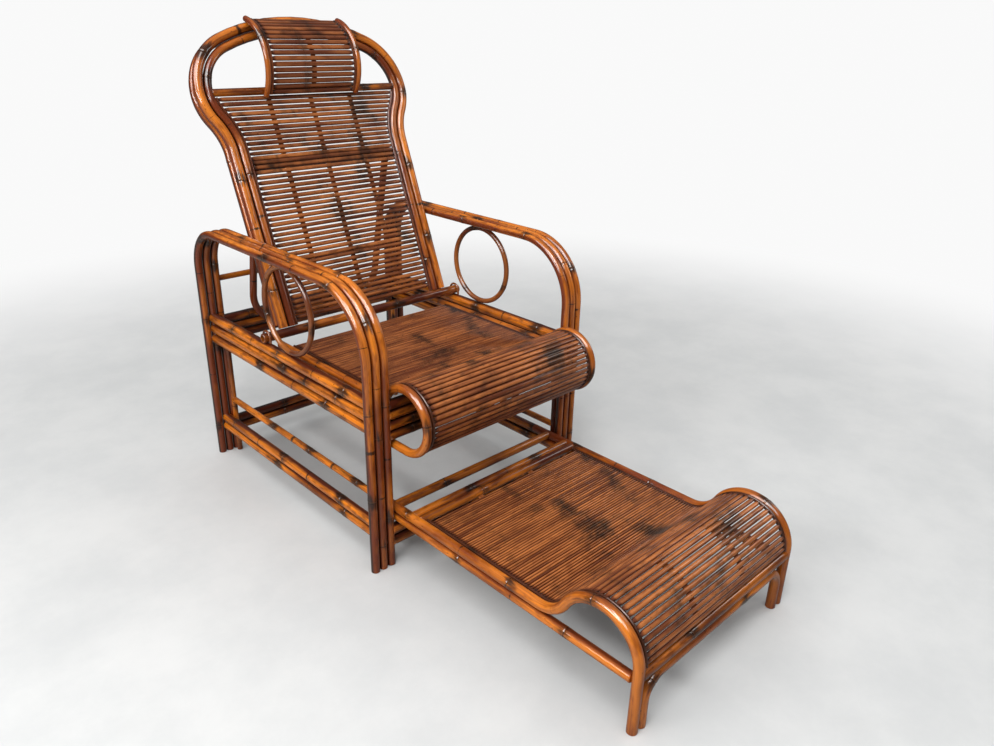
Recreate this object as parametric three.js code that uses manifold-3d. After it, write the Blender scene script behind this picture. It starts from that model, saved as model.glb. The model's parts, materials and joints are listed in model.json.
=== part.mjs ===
// A reclining lounge chair of bent bamboo poles, with a slatted footrest that slides out.
// Millimetres, +Z up, the front of the chair towards -Y. Left is -X, as seen from the front.
import * as THREE from 'three';
import * as BufferGeometryUtils from 'three/addons/utils/BufferGeometryUtils.js';
import Module from 'manifold-3d';

// Faces round a pole, and the widest turn and rise between two stations of a bend
const POLE_SIDES = 8;
const BEND_STEP = THREE.MathUtils.degToRad(16);
const BEND_RISE = 1.5;
const RING_STEPS = 22;
const CANE_SIDES = 6;

// Clearances: what is lashed, what butts against a pole, and what turns
const LASH_GAP = 0.4;
const SEAT_GAP = 0.3;
const RUNNING_GAP = 1;

// Hoops: one bent pole is front leg, arm and rear leg, three of them side by side
const HOOP_POLE = 21.6;
const HOOPS_PER_SIDE = 3;
const HOOP_OUTER_X = 330;
const LEG_Y = 377.5;
const FRONT_BEND = 155;
const REAR_BEND = 105;

// Straight rails between the legs
const SIDE_RAIL_POLE = 29.4;
const SIDE_RAIL_TOP_Z = 411;
const SIDE_STRETCHER_POLE = 25.6;
const SIDE_STRETCHER_Z = 108;
const THIN_STRETCHER_POLE = 18;
const THIN_STRETCHER_Z = 163;
const INNER_POST_POLE = 16.4;
const FRONT_STRETCHER_POLE = 28;
const FRONT_STRETCHER_Z = 93;
const REAR_STRETCHER_POLE = 24.6;
const REAR_STRETCHER_Z = 92;
const FRONT_APRON_RAILS = 4;
const FRONT_APRON_CLEARANCE = 3.5;
const APRON_POLE = 25.6;
const REAR_APRON_TOP_Z = 400;
const PAIR_BITE = 0.3;
const REAR_UPPER_POLE = 17;
const REAR_UPPER_Z = 517;

// Cane rings between side rail and arm, and cane staples over the axle
const RING_CANE = 15;
const RING_DIAMETER = 224;
const RING_Y = -34;
const STAPLE_CANE = 7;

// Seat: side poles run level, dip, and roll over in a C at the front
const SEAT_POLE = 21;
const SEAT_SIDE_CLEARANCE = 1;
const SEAT_LINE_Z = 404.5;
const SEAT_REAR_Y = 95;
const SEAT_REAR_RAIL_Y = 75;
const SEAT_ROLL_RADIUS = 73;
const SEAT_ROLL_OVERHANG = 42;
const SEAT_ROLL_RISE = 51;
const SEAT_VALLEY_RADIUS = 40;
const SEAT_RETURN_LENGTH = 62;
const SEAT_SLATS_START = 42;
const SEAT_SLATS_END_SPARE = 74;

// Slats and the strips that carry them
const SLAT_THICKNESS = 5.5;
const SLAT_LIFT = 3.5;
const STRIP_WIDTH = 6.3;
const STRIP_THICKNESS = 8;
const SLAT_BITE = 3.2;
const BATTEN_BITE = 0.5;
const SEAT_SLATS = 36;
const SEAT_SLAT_GAP = 1.8;
const SEAT_BATTEN_WIDTH = 22;

// Back: an arch of poles with a waist, tilted about the axle
const BACK_TILT = THREE.MathUtils.degToRad(22.3);
const AXLE_POLE = 25;
const AXLE_BORE = 15;
const AXLE_BORE_DEPTH = 34;
const AXLE_Y = 79;
const AXLE_OVERHANG = 12;
const ARCH_ARM_CLEARANCE = 4.2;
const ARCH_SHOULDER = 43;
const ARCH_WAIST_START = 455;
const ARCH_WAIST_LENGTH = 145;
const ARCH_TOP = 790;
const ARCH_SHOULDER_RADIUS = 157;
const ARCH_OUTER_POLE = 25.5;
const ARCH_INNER_POLE = 22;
const ARCH_REAR_POLE = 24;
const ARCH_REAR_FOOT = 22;
const TOP_RAIL_POLE = 20;
const TOP_RAIL_S = 602;
const MIDDLE_RAIL_POLE = 19;
const MIDDLE_RAIL_S = 420;
const BACK_SLATS = 42;
const BACK_SLAT_GAP = 3.8;
const BACK_SLATS_START = 24;
const BACK_BATTEN_WIDTH = 14;
const BACK_BATTEN_THICKNESS = 5;
const BACK_BATTEN_X = 122;

// Headrest: two C-shaped hoops in front of the arch with slats between them
const HEADREST_POLE = 16;
const HEADREST_X = 134;
const HEADREST_SAGITTA = 44;
const HEADREST_SLATS = 12;
const HEADREST_SLAT_GAP = 3.6;
const HEADREST_STRIP_THICKNESS = 7;
const HEADREST_SLATS_START = 5;

// Prop: a U of pole hung on the middle rail, its foot against the rear apron
const PROP_POLE = 21;
const PROP_INSET = 66;
const PROP_BEND = 100;
const PROP_FOOT_Z = 370;
const PROP_EYE_WIDTH = 14;

// Footrest: two stacked poles a side; the upper one humps over and turns down into the foot
const FOOTREST_POLE = 23;
const FOOTREST_SIDE_CLEARANCE = 2.4;
const FOOTREST_LINE_Z = 142.5;
const FOOTREST_REAR_Y = -312;
const FOOTREST_RAIL_REAR_Y = -330;
const FOOTREST_FOOT_Y = -1059;
const FOOTREST_HUMP_RADIUS = 91.5;
const FOOTREST_HUMP_RISE = 89;
const FOOTREST_VALLEY_RADIUS = 75;
const FOOTREST_CROSS_POLE = 23;
const FOOTREST_CROSS_REAR_Y = -365;
const FOOTREST_CROSS_FRONT_Y = -429;
const FOOTREST_FRONT_BAR_POLE = 24;
const FOOTREST_FRONT_BAR_Z = 128.5;
const BRACE_POLE = 23;
const BRACE_BEND = 45;
const FOOTREST_STRIP_Y = -466;
const FOOTREST_SLATS_START = 12;
const FOOTREST_SLATS_END_SPARE = 4.5;
const FOOTREST_SLATS = 40;
const FOOTREST_SLAT_GAP = 2.4;
const FOOTREST_BATTEN_WIDTH = 16;
const FOOTREST_BATTEN_THICKNESS = 5;
const FOOTREST_BATTEN_X = 84;

// Sizes that follow from the ones above
const HOOP_PITCH = HOOP_POLE + LASH_GAP;
const HOOP_MIDDLE_X = HOOP_OUTER_X - HOOP_PITCH;
const HOOP_INNER_X = HOOP_MIDDLE_X - HOOP_PITCH;
const LEG_FACE_X = HOOP_INNER_X - HOOP_POLE / 2;
const LEG_CLEAR_X = LEG_FACE_X - SEAT_GAP;
const LEG_CLEAR_Y = LEG_Y - HOOP_POLE / 2 - SEAT_GAP;
const SIDE_RAIL_PITCH = SIDE_RAIL_POLE + LASH_GAP;
const SIDE_RAIL_TOP = SIDE_RAIL_TOP_Z + SIDE_RAIL_POLE / 2;
const ARM_HEIGHT = SIDE_RAIL_TOP + RING_DIAMETER + 2 * SEAT_GAP + HOOP_POLE / 2;
const SEAT_X = LEG_FACE_X - SEAT_SIDE_CLEARANCE - SEAT_POLE / 2;
const ARCH_HALF_WIDTH = LEG_FACE_X - ARCH_ARM_CLEARANCE;
const PROP_X = ARCH_HALF_WIDTH - PROP_INSET;
const PROP_FOOT_Y = LEG_Y - APRON_POLE / 2 - SEAT_GAP - PROP_POLE / 2;
const FOOTREST_X = LEG_FACE_X - FOOTREST_SIDE_CLEARANCE - FOOTREST_POLE / 2;
const SIDE_RAIL_BOTTOM = SIDE_RAIL_TOP_Z - 2 * SIDE_RAIL_PITCH - SIDE_RAIL_POLE / 2;
const SIDE_RAIL_CLEAR_X = HOOP_MIDDLE_X - SIDE_RAIL_POLE / 2 - SEAT_GAP;
const APRON_PITCH = APRON_POLE + LASH_GAP;
const SEAT_ROLL_Y = -LEG_Y - SEAT_ROLL_OVERHANG;
const SEAT_ROLL_Z = SEAT_LINE_Z + SEAT_ROLL_RISE - SEAT_ROLL_RADIUS;
const SEAT_ROLL_INNER = SEAT_ROLL_RADIUS - SEAT_POLE / 2;
const FRONT_APRON_POLE = 2 * frontApronRadius();
const FRONT_APRON_PAIR = 2 * FRONT_APRON_POLE - PAIR_BITE + LASH_GAP;
const FRONT_APRON_STACK = FRONT_APRON_PAIR + FRONT_APRON_POLE - PAIR_BITE;
const FRONT_APRON_BOTTOM_Z = SEAT_ROLL_Z - SEAT_ROLL_INNER + FRONT_APRON_CLEARANCE;
const FRONT_APRON_TOP_Z = FRONT_APRON_BOTTOM_Z + FRONT_APRON_POLE / 2 + FRONT_APRON_STACK;
const SEAT_CARRIER_Z = SEAT_LINE_Z - SEAT_POLE / 2 - SEAT_GAP - APRON_POLE / 2;
const AXLE_Z = SIDE_RAIL_TOP + SEAT_GAP + AXLE_POLE / 2;
const ARCH_INNER_INSET = ARCH_OUTER_POLE + LASH_GAP + ARCH_INNER_POLE / 2;
const ARCH_STRIP_INSET = ARCH_OUTER_POLE + LASH_GAP + ARCH_INNER_POLE + SEAT_GAP;
const ARCH_REAR_DEPTH = (ARCH_OUTER_POLE + ARCH_REAR_POLE) / 2 + LASH_GAP;
const AXLE_CLEAR_S = AXLE_POLE / 2 + SEAT_GAP;
const FOOTREST_RAIL_Z = FOOTREST_LINE_Z - FOOTREST_POLE - LASH_GAP;
const FOOTREST_CLEAR_X = FOOTREST_X - FOOTREST_POLE / 2 - SEAT_GAP;

const MATERIALS = {
  pole: new THREE.MeshStandardMaterial({ color: 0xa8592a, roughness: 0.28, metalness: 0 }),
  rail: new THREE.MeshStandardMaterial({ color: 0x8f4722, roughness: 0.3, metalness: 0 }),
  slat: new THREE.MeshStandardMaterial({ color: 0x7d4527, roughness: 0.36, metalness: 0 }),
  cane: new THREE.MeshStandardMaterial({ color: 0x8a4a24, roughness: 0.32, metalness: 0 }),
};

const wasm = await Module();
wasm.setup();

// A flat line of straight runs and bends, walked from its start along its heading.
// A bend has a radius and a signed turn, positive to the left of the walk.
class PlanarLine {
  constructor(start, heading, runs) {
    this.start = start;
    this.heading = heading;
    this.runs = runs;
  }

  // The same line moved to the right of the walk, with every bend about its own centre
  offset(distance) {
    const start = {
      p: this.start.p + distance * Math.sin(this.heading),
      q: this.start.q - distance * Math.cos(this.heading),
    };
    const runs = this.runs.map((run) => {
      if (!run.turn) return run;
      return { radius: run.radius + distance * Math.sign(run.turn), turn: run.turn };
    });
    return new PlanarLine(start, this.heading, runs);
  }

  // The place and heading at a share of a run that starts at the given place
  static along(place, run, share) {
    if (!run.turn) {
      return {
        p: place.p + share * run.length * Math.cos(place.heading),
        q: place.q + share * run.length * Math.sin(place.heading),
        heading: place.heading,
      };
    }
    const side = Math.sign(run.turn);
    const heading = place.heading + share * run.turn;
    return {
      p: place.p + side * run.radius * (Math.sin(heading) - Math.sin(place.heading)),
      q: place.q - side * run.radius * (Math.cos(heading) - Math.cos(place.heading)),
      heading,
    };
  }

  static runLength(run) {
    return run.turn ? Math.abs(run.turn) * run.radius : run.length;
  }

  static bendSteps(run) {
    const step = Math.min(BEND_STEP, 2 * Math.acos(1 - BEND_RISE / run.radius));
    return Math.ceil(Math.abs(run.turn) / step);
  }

  get length() {
    return this.runs.reduce((sum, run) => sum + PlanarLine.runLength(run), 0);
  }

  at(distance) {
    let place = { ...this.start, heading: this.heading };
    let left = distance;
    for (const run of this.runs) {
      const length = PlanarLine.runLength(run);
      if (left <= length) return PlanarLine.along(place, run, left / length);
      place = PlanarLine.along(place, run, 1);
      left -= length;
    }
    return place;
  }

  // Stations at the ends of straight runs and evenly round each bend
  stations() {
    let place = { ...this.start, heading: this.heading };
    const list = [place];
    for (const run of this.runs) {
      const steps = run.turn ? PlanarLine.bendSteps(run) : 1;
      const from = place;
      for (let step = 1; step <= steps; step += 1) {
        place = PlanarLine.along(from, run, step / steps);
        list.push(place);
      }
    }
    return list;
  }

  // The part of the line between two distances, as a line of its own
  part(from, to) {
    const begin = this.at(from);
    const runs = [];
    let walked = 0;
    for (const run of this.runs) {
      const length = PlanarLine.runLength(run);
      const low = Math.max(from, walked);
      const high = Math.min(to, walked + length);
      if (high > low) {
        const share = (high - low) / length;
        runs.push(run.turn
          ? { radius: run.radius, turn: run.turn * share }
          : { length: run.length * share });
      }
      walked += length;
    }
    return new PlanarLine({ p: begin.p, q: begin.q }, begin.heading, runs);
  }
}

// A line in space with one station for each step of a swept pole
class StationCurve extends THREE.Curve {
  constructor(places) {
    super();
    this.places = places;
  }

  index(share) {
    return Math.round(share * (this.places.length - 1));
  }

  getPointAt(share, target = new THREE.Vector3()) {
    return target.copy(this.places[this.index(share)].point);
  }

  getTangentAt(share, target = new THREE.Vector3()) {
    return target.copy(this.places[this.index(share)].tangent);
  }
}

// Planes that flat lines are drawn in: side views at one x, front views at one depth
const sideView = (x) => (p, q) => new THREE.Vector3(x, p, q);
const frontView = (depth) => (p, q) => new THREE.Vector3(p, depth, q);

function curveOf(line, place) {
  const origin = place(0, 0);
  return new StationCurve(line.stations().map((station) => ({
    point: place(station.p, station.q),
    tangent: place(Math.cos(station.heading), Math.sin(station.heading)).sub(origin),
  })));
}

function roundSection(diameter, sides = POLE_SIDES) {
  const points = [];
  for (let side = 0; side < sides; side += 1) {
    const angle = (2 * Math.PI * side) / sides;
    points.push(new THREE.Vector2(Math.cos(angle), Math.sin(angle)).multiplyScalar(diameter / 2));
  }
  return new THREE.Shape(points);
}

function bentPoleGeometry(line, place, diameter, sides = POLE_SIDES) {
  const curve = curveOf(line, place);
  return new THREE.ExtrudeGeometry(roundSection(diameter, sides), {
    steps: curve.places.length - 1,
    extrudePath: curve,
  });
}

// A straight pole from one end to the other
function straightPoleGeometry(from, to, diameter) {
  const span = new THREE.Vector3().subVectors(to, from);
  const radius = diameter / 2;
  const geometry = new THREE.CylinderGeometry(radius, radius, span.length(), POLE_SIDES);
  const up = new THREE.Vector3(0, 1, 0);
  geometry.applyQuaternion(new THREE.Quaternion().setFromUnitVectors(up, span.normalize()));
  const middle = new THREE.Vector3().addVectors(from, to).multiplyScalar(1 / 2);
  return geometry.translate(middle.x, middle.y, middle.z);
}

function toSolid(geometry) {
  const bare = geometry.clone();
  bare.deleteAttribute('normal');
  bare.deleteAttribute('uv');
  const merged = BufferGeometryUtils.mergeVertices(bare);
  return new wasm.Manifold(new wasm.Mesh({
    numProp: 3,
    vertProperties: new Float32Array(merged.attributes.position.array),
    triVerts: new Uint32Array(merged.index.array),
  }));
}

function toGeometry(solid) {
  const mesh = solid.getMesh();
  const geometry = new THREE.BufferGeometry();
  geometry.setAttribute('position', new THREE.BufferAttribute(mesh.vertProperties, 3));
  geometry.setIndex(new THREE.BufferAttribute(mesh.triVerts, 1));
  return geometry;
}

// Joins pieces that are pinned and lashed into one panel
function joined(geometries) {
  let sum = toSolid(geometries[0]);
  for (const geometry of geometries.slice(1)) {
    sum = sum.add(toSolid(geometry));
  }
  return toGeometry(sum);
}

function named(name, geometry, material) {
  const mesh = new THREE.Mesh(geometry, material);
  mesh.name = name;
  return mesh;
}

// A flat strip that follows a line in a side view, from one x to another
function sideStripGeometry(line, lift, thickness, lowX, highX) {
  const upper = line.offset(lift + thickness / 2).stations();
  const lower = line.offset(lift - thickness / 2).stations().reverse();
  const outline = [...upper, ...lower].map((place) => new THREE.Vector2(place.p, place.q));
  const geometry = new THREE.ExtrudeGeometry(new THREE.Shape(outline), {
    depth: highX - lowX,
    bevelEnabled: false,
  });
  const turn = new THREE.Matrix4().makeBasis(
    new THREE.Vector3(0, 1, 0),
    new THREE.Vector3(0, 0, 1),
    new THREE.Vector3(1, 0, 0),
  );
  return geometry.applyMatrix4(turn).translate(lowX, 0, 0);
}

// A number of slats laid across a line in a side view at an even pitch
function sideSlats(line, start, count, gap, halfLength) {
  const pitch = (line.length - start) / count;
  const slats = [];
  for (let index = 0; index < count; index += 1) {
    const place = line.at(start + (index + 1 / 2) * pitch);
    const slat = new THREE.BoxGeometry(2 * halfLength, pitch - gap, SLAT_THICKNESS);
    slats.push(slat.rotateX(place.heading - Math.PI).translate(0, place.p, place.q));
  }
  return slats;
}

const bothSides = [['left', -1], ['right', 1]];

// Frame

function hoopLine() {
  return new PlanarLine({ p: -LEG_Y, q: 0 }, Math.PI / 2, [
    { length: ARM_HEIGHT - FRONT_BEND },
    { radius: FRONT_BEND, turn: -Math.PI / 2 },
    { length: 2 * LEG_Y - FRONT_BEND - REAR_BEND },
    { radius: REAR_BEND, turn: -Math.PI / 2 },
    { length: ARM_HEIGHT - REAR_BEND },
  ]);
}

function hoops(frame) {
  const places = ['outer', 'middle', 'inner'];
  for (const [side, sign] of bothSides) {
    for (let index = 0; index < HOOPS_PER_SIDE; index += 1) {
      const x = sign * (HOOP_OUTER_X - index * HOOP_PITCH);
      const geometry = bentPoleGeometry(hoopLine(), sideView(x), HOOP_POLE);
      frame.add(named(`hoop_${side}_${places[index]}`, geometry, MATERIALS.pole));
    }
  }
}

// A pole along the chair between the front and the rear leg of one side
function alongPole(name, x, z, diameter, material) {
  const from = new THREE.Vector3(x, -LEG_CLEAR_Y, z);
  const to = new THREE.Vector3(x, LEG_CLEAR_Y, z);
  return named(name, straightPoleGeometry(from, to, diameter), material);
}

function acrossPoleGeometry(halfLength, y, z, diameter) {
  const from = new THREE.Vector3(-halfLength, y, z);
  const to = new THREE.Vector3(halfLength, y, z);
  return straightPoleGeometry(from, to, diameter);
}

// A pole across the chair, centred
function acrossPole(name, halfLength, y, z, diameter, material) {
  return named(name, acrossPoleGeometry(halfLength, y, z, diameter), material);
}

function sideRails(frame) {
  const heights = ['top', 'middle', 'bottom'];
  for (const [side, sign] of bothSides) {
    const x = sign * HOOP_MIDDLE_X;
    heights.forEach((height, index) => {
      const z = SIDE_RAIL_TOP_Z - index * SIDE_RAIL_PITCH;
      frame.add(alongPole(`side_rail_${side}_${height}`, x, z, SIDE_RAIL_POLE, MATERIALS.rail));
    });
    const lowerZ = SIDE_STRETCHER_Z - SIDE_STRETCHER_POLE - LASH_GAP;
    const stretchers = [
      [`side_stretcher_${side}_upper`, SIDE_STRETCHER_Z],
      [`side_stretcher_${side}_lower`, lowerZ],
    ];
    for (const [name, z] of stretchers) {
      frame.add(alongPole(name, x, z, SIDE_STRETCHER_POLE, MATERIALS.rail));
    }
  }
}

// Thin posts that stand against the inner pole of each leg and carry the side rails,
// and a thin stretcher between each two of them
function innerPosts(frame) {
  const y = LEG_CLEAR_Y - INNER_POST_POLE / 2;
  const reach = LEG_CLEAR_Y - INNER_POST_POLE - SEAT_GAP;
  for (const [side, sign] of bothSides) {
    for (const [end, direction] of [['front', -1], ['rear', 1]]) {
      const foot = new THREE.Vector3(sign * HOOP_INNER_X, direction * y, 0);
      const head = foot.clone().setZ(SIDE_RAIL_BOTTOM - SEAT_GAP);
      const geometry = straightPoleGeometry(foot, head, INNER_POST_POLE);
      frame.add(named(`inner_post_${end}_${side}`, geometry, MATERIALS.rail));
    }
    const rear = new THREE.Vector3(sign * HOOP_INNER_X, reach, THIN_STRETCHER_Z);
    const front = rear.clone().setY(-reach);
    const stretcher = straightPoleGeometry(front, rear, THIN_STRETCHER_POLE);
    frame.add(named(`thin_stretcher_${side}`, stretcher, MATERIALS.rail));
  }
}

function crossRails(frame) {
  const frontLower = FRONT_STRETCHER_Z - FRONT_STRETCHER_POLE - LASH_GAP;
  const rearLower = REAR_STRETCHER_Z - REAR_STRETCHER_POLE - LASH_GAP;
  const rails = [
    ['front_stretcher_upper', -LEG_Y, FRONT_STRETCHER_Z, FRONT_STRETCHER_POLE],
    ['front_stretcher_lower', -LEG_Y, frontLower, FRONT_STRETCHER_POLE],
    ['rear_stretcher_upper', LEG_Y, REAR_STRETCHER_Z, REAR_STRETCHER_POLE],
    ['rear_stretcher_lower', LEG_Y, rearLower, REAR_STRETCHER_POLE],
    ['rear_apron_top', LEG_Y, REAR_APRON_TOP_Z, APRON_POLE],
    ['rear_apron_middle', LEG_Y, REAR_APRON_TOP_Z - APRON_PITCH, APRON_POLE],
    ['rear_apron_bottom', LEG_Y, REAR_APRON_TOP_Z - 2 * APRON_PITCH, APRON_POLE],
    ['rear_upper_rail', LEG_Y, REAR_UPPER_Z, REAR_UPPER_POLE],
  ];
  for (const [name, y, z, diameter] of rails) {
    frame.add(acrossPole(name, LEG_CLEAR_X, y, z, diameter, MATERIALS.rail));
  }
}

// Half the width of the front apron's rails, which fill the hollow of the seat's roll between the
// legs. The lowest clears the returning side poles, and the top one just clears the roll above it.
// Seen from the roll's centre, the top rail lies at the height radii * r + slack and at the
// distance reach - r, so r is the larger root of a quadratic.
function frontApronRadius() {
  const radii = 2 * FRONT_APRON_RAILS - 1;
  const slack = LASH_GAP - 2 * PAIR_BITE + FRONT_APRON_CLEARANCE - SEAT_ROLL_INNER;
  const reach = SEAT_ROLL_INNER - SEAT_GAP;
  const a = radii ** 2 - 1;
  const b = radii * slack + reach;
  const c = slack ** 2 + SEAT_ROLL_OVERHANG ** 2 - reach ** 2;
  return (Math.sqrt(b ** 2 - a * c) - b) / a;
}

// The front apron: four stacked rails, bound together two by two
function frontApron(frame) {
  ['upper', 'lower'].forEach((level, index) => {
    const top = FRONT_APRON_TOP_Z - index * FRONT_APRON_PAIR;
    const pair = [0, FRONT_APRON_POLE - PAIR_BITE].map((drop) => acrossPoleGeometry(
      LEG_CLEAR_X, -LEG_Y, top - drop, FRONT_APRON_POLE));
    frame.add(named(`front_apron_pair_${level}`, joined(pair), MATERIALS.rail));
  });
}

// Rings of bent cane that fill the height between side rail and arm
function armRings(frame) {
  const room = ARM_HEIGHT - HOOP_POLE / 2 - SIDE_RAIL_TOP;
  const middle = SIDE_RAIL_TOP + room / 2;
  const outerRadius = room / 2 - SEAT_GAP;
  for (const [side, sign] of bothSides) {
    const radius = outerRadius - RING_CANE / 2;
    const ring = new THREE.TorusGeometry(radius, RING_CANE / 2, CANE_SIDES, RING_STEPS);
    ring.rotateY(Math.PI / 2).translate(sign * HOOP_MIDDLE_X, RING_Y, middle);
    frame.add(named(`arm_ring_${side}`, ring, MATERIALS.cane));
  }
}

// Cane staples that hold the axle down on the top side rails
function axleStaples(frame) {
  const radius = AXLE_POLE / 2 + RUNNING_GAP + STAPLE_CANE / 2;
  const footZ = SIDE_RAIL_TOP + SEAT_GAP;
  const line = new PlanarLine({ p: AXLE_Y - radius, q: footZ }, Math.PI / 2, [
    { length: AXLE_Z - footZ },
    { radius, turn: -Math.PI },
    { length: AXLE_Z - footZ },
  ]);
  for (const [side, sign] of bothSides) {
    const geometry = bentPoleGeometry(line, sideView(sign * HOOP_MIDDLE_X), STAPLE_CANE, CANE_SIDES);
    frame.add(named(`axle_staple_${side}`, geometry, MATERIALS.cane));
  }
}

// Seat

// From the rear forward: level, up out of a shallow valley, then round the roll and back underneath
function seatLine() {
  const lift = Math.acos(1 - SEAT_ROLL_RISE / (SEAT_VALLEY_RADIUS + SEAT_ROLL_RADIUS));
  const run = (SEAT_VALLEY_RADIUS + SEAT_ROLL_RADIUS) * Math.sin(lift);
  return new PlanarLine({ p: SEAT_REAR_Y, q: SEAT_LINE_Z }, Math.PI, [
    { length: SEAT_REAR_Y - SEAT_ROLL_Y - run },
    { radius: SEAT_VALLEY_RADIUS, turn: -lift },
    { radius: SEAT_ROLL_RADIUS, turn: Math.PI + lift },
    { length: SEAT_RETURN_LENGTH },
  ]);
}

function seat(frame) {
  const line = seatLine();
  for (const [side, sign] of bothSides) {
    const geometry = bentPoleGeometry(line, sideView(sign * SEAT_X), SEAT_POLE);
    frame.add(named(`seat_side_pole_${side}`, geometry, MATERIALS.pole));
  }
  const rail = acrossPole('seat_rear_rail', SIDE_RAIL_CLEAR_X, SEAT_REAR_RAIL_Y, SEAT_CARRIER_Z,
    APRON_POLE, MATERIALS.rail);
  frame.add(rail);
  frame.add(named('seat_slats', seatPanel(line), MATERIALS.slat));
}

function seatPanel(line) {
  const stripOuter = SEAT_X - SEAT_POLE / 2 - SEAT_GAP;
  const stripInner = stripOuter - STRIP_WIDTH;
  const end = line.length - SEAT_SLATS_END_SPARE;
  const carried = line.part(SEAT_SLATS_START, end);
  const slats = sideSlats(carried.offset(SLAT_LIFT), 0, SEAT_SLATS, SEAT_SLAT_GAP,
    stripInner + SLAT_BITE);
  const battenDepth = SEAT_POLE / 2 + SLAT_LIFT - SLAT_THICKNESS / 2 + BATTEN_BITE;
  const battenLift = SLAT_LIFT - SLAT_THICKNESS / 2 + BATTEN_BITE - battenDepth / 2;
  return joined([
    sideStripGeometry(carried, SLAT_LIFT, STRIP_THICKNESS, stripInner, stripOuter),
    sideStripGeometry(carried, SLAT_LIFT, STRIP_THICKNESS, -stripOuter, -stripInner),
    sideStripGeometry(carried, battenLift, battenDepth, -SEAT_BATTEN_WIDTH / 2, SEAT_BATTEN_WIDTH / 2),
    ...slats,
  ]);
}

// Back, drawn upright in its own plane: x across, y depth to the rear, z up from the axle

// The outside edge of the arch from its left foot to its right foot
function archLine() {
  const waistTurn = 2 * Math.atan(ARCH_SHOULDER / ARCH_WAIST_LENGTH);
  const waistRadius = ARCH_WAIST_LENGTH / (2 * Math.sin(waistTurn));
  const halfWidth = ARCH_HALF_WIDTH + ARCH_SHOULDER;
  const rise = ARCH_TOP - ARCH_WAIST_START - ARCH_WAIST_LENGTH;
  const topRadius = (halfWidth ** 2 + rise ** 2 - 2 * halfWidth * ARCH_SHOULDER_RADIUS)
    / (2 * (rise - ARCH_SHOULDER_RADIUS));
  const topTurn = Math.asin((halfWidth - ARCH_SHOULDER_RADIUS) / (topRadius - ARCH_SHOULDER_RADIUS));
  const shoulderTurn = Math.PI / 2 - topTurn;
  const foot = { length: ARCH_WAIST_START - AXLE_CLEAR_S };
  const hollow = { radius: waistRadius, turn: waistTurn };
  const swell = { radius: waistRadius, turn: -waistTurn };
  const shoulder = { radius: ARCH_SHOULDER_RADIUS, turn: -shoulderTurn };
  const top = { radius: topRadius, turn: -2 * topTurn };
  return new PlanarLine({ p: -ARCH_HALF_WIDTH, q: AXLE_CLEAR_S }, Math.PI / 2,
    [foot, hollow, swell, shoulder, top, shoulder, swell, hollow, foot]);
}

// Half the width between the two sides of an inset arch at one height
function archHalfWidthAt(inset, height) {
  const line = archLine().offset(inset);
  const [foot, hollow, swell] = line.runs;
  const start = line.start.q + foot.length;
  if (height <= start) return -line.start.p;
  const hollowTop = hollow.radius * Math.sin(hollow.turn);
  if (height <= start + hollowTop) {
    const turned = Math.asin((height - start) / hollow.radius);
    return -line.start.p + hollow.radius * (1 - Math.cos(turned));
  }
  const widest = start + hollowTop + swell.radius * Math.sin(-swell.turn);
  const left = Math.asin((widest - height) / swell.radius);
  const full = -line.start.p + (hollow.radius + swell.radius) * (1 - Math.cos(hollow.turn));
  return full - swell.radius * (1 - Math.cos(left));
}

function archPoles(back) {
  const edge = archLine();
  const footless = edge.length - (ARCH_REAR_FOOT - AXLE_CLEAR_S);
  const rearEdge = edge.part(ARCH_REAR_FOOT - AXLE_CLEAR_S, footless);
  const poles = [
    ['back_arch_outer', edge, ARCH_OUTER_POLE / 2, ARCH_OUTER_POLE, 0],
    ['back_arch_inner', edge, ARCH_INNER_INSET, ARCH_INNER_POLE, 0],
    ['back_arch_rear', rearEdge, ARCH_OUTER_POLE / 2, ARCH_REAR_POLE, ARCH_REAR_DEPTH],
  ];
  for (const [name, line, inset, diameter, depth] of poles) {
    const geometry = bentPoleGeometry(line.offset(inset), frontView(depth), diameter);
    back.add(named(name, geometry, MATERIALS.pole));
  }
}

// The axle pole is a bamboo stem, so its two cut ends are hollow
function axle(back) {
  const half = HOOP_MIDDLE_X + AXLE_OVERHANG;
  const radius = AXLE_POLE / 2;
  const bore = AXLE_BORE / 2;
  const profile = [
    [0, -half + AXLE_BORE_DEPTH], [bore, -half + AXLE_BORE_DEPTH], [bore, -half], [radius, -half],
    [radius, half], [bore, half], [bore, half - AXLE_BORE_DEPTH], [0, half - AXLE_BORE_DEPTH],
  ];
  const points = profile.map(([r, x]) => new THREE.Vector2(r, x));
  const geometry = new THREE.LatheGeometry(points, POLE_SIDES).rotateZ(-Math.PI / 2);
  back.add(named('back_axle', geometry, MATERIALS.rail));
}

function backRails(back) {
  const topHalf = archHalfWidthAt(ARCH_STRIP_INSET, TOP_RAIL_S - TOP_RAIL_POLE / 2) - BEND_RISE;
  back.add(acrossPole('back_top_rail', topHalf, 0, TOP_RAIL_S, TOP_RAIL_POLE, MATERIALS.rail));
  const rearInner = ARCH_HALF_WIDTH - (ARCH_OUTER_POLE + ARCH_REAR_POLE) / 2 - SEAT_GAP;
  back.add(acrossPole('back_middle_rail', rearInner, ARCH_REAR_DEPTH, MIDDLE_RAIL_S,
    MIDDLE_RAIL_POLE, MATERIALS.rail));
}

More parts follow.
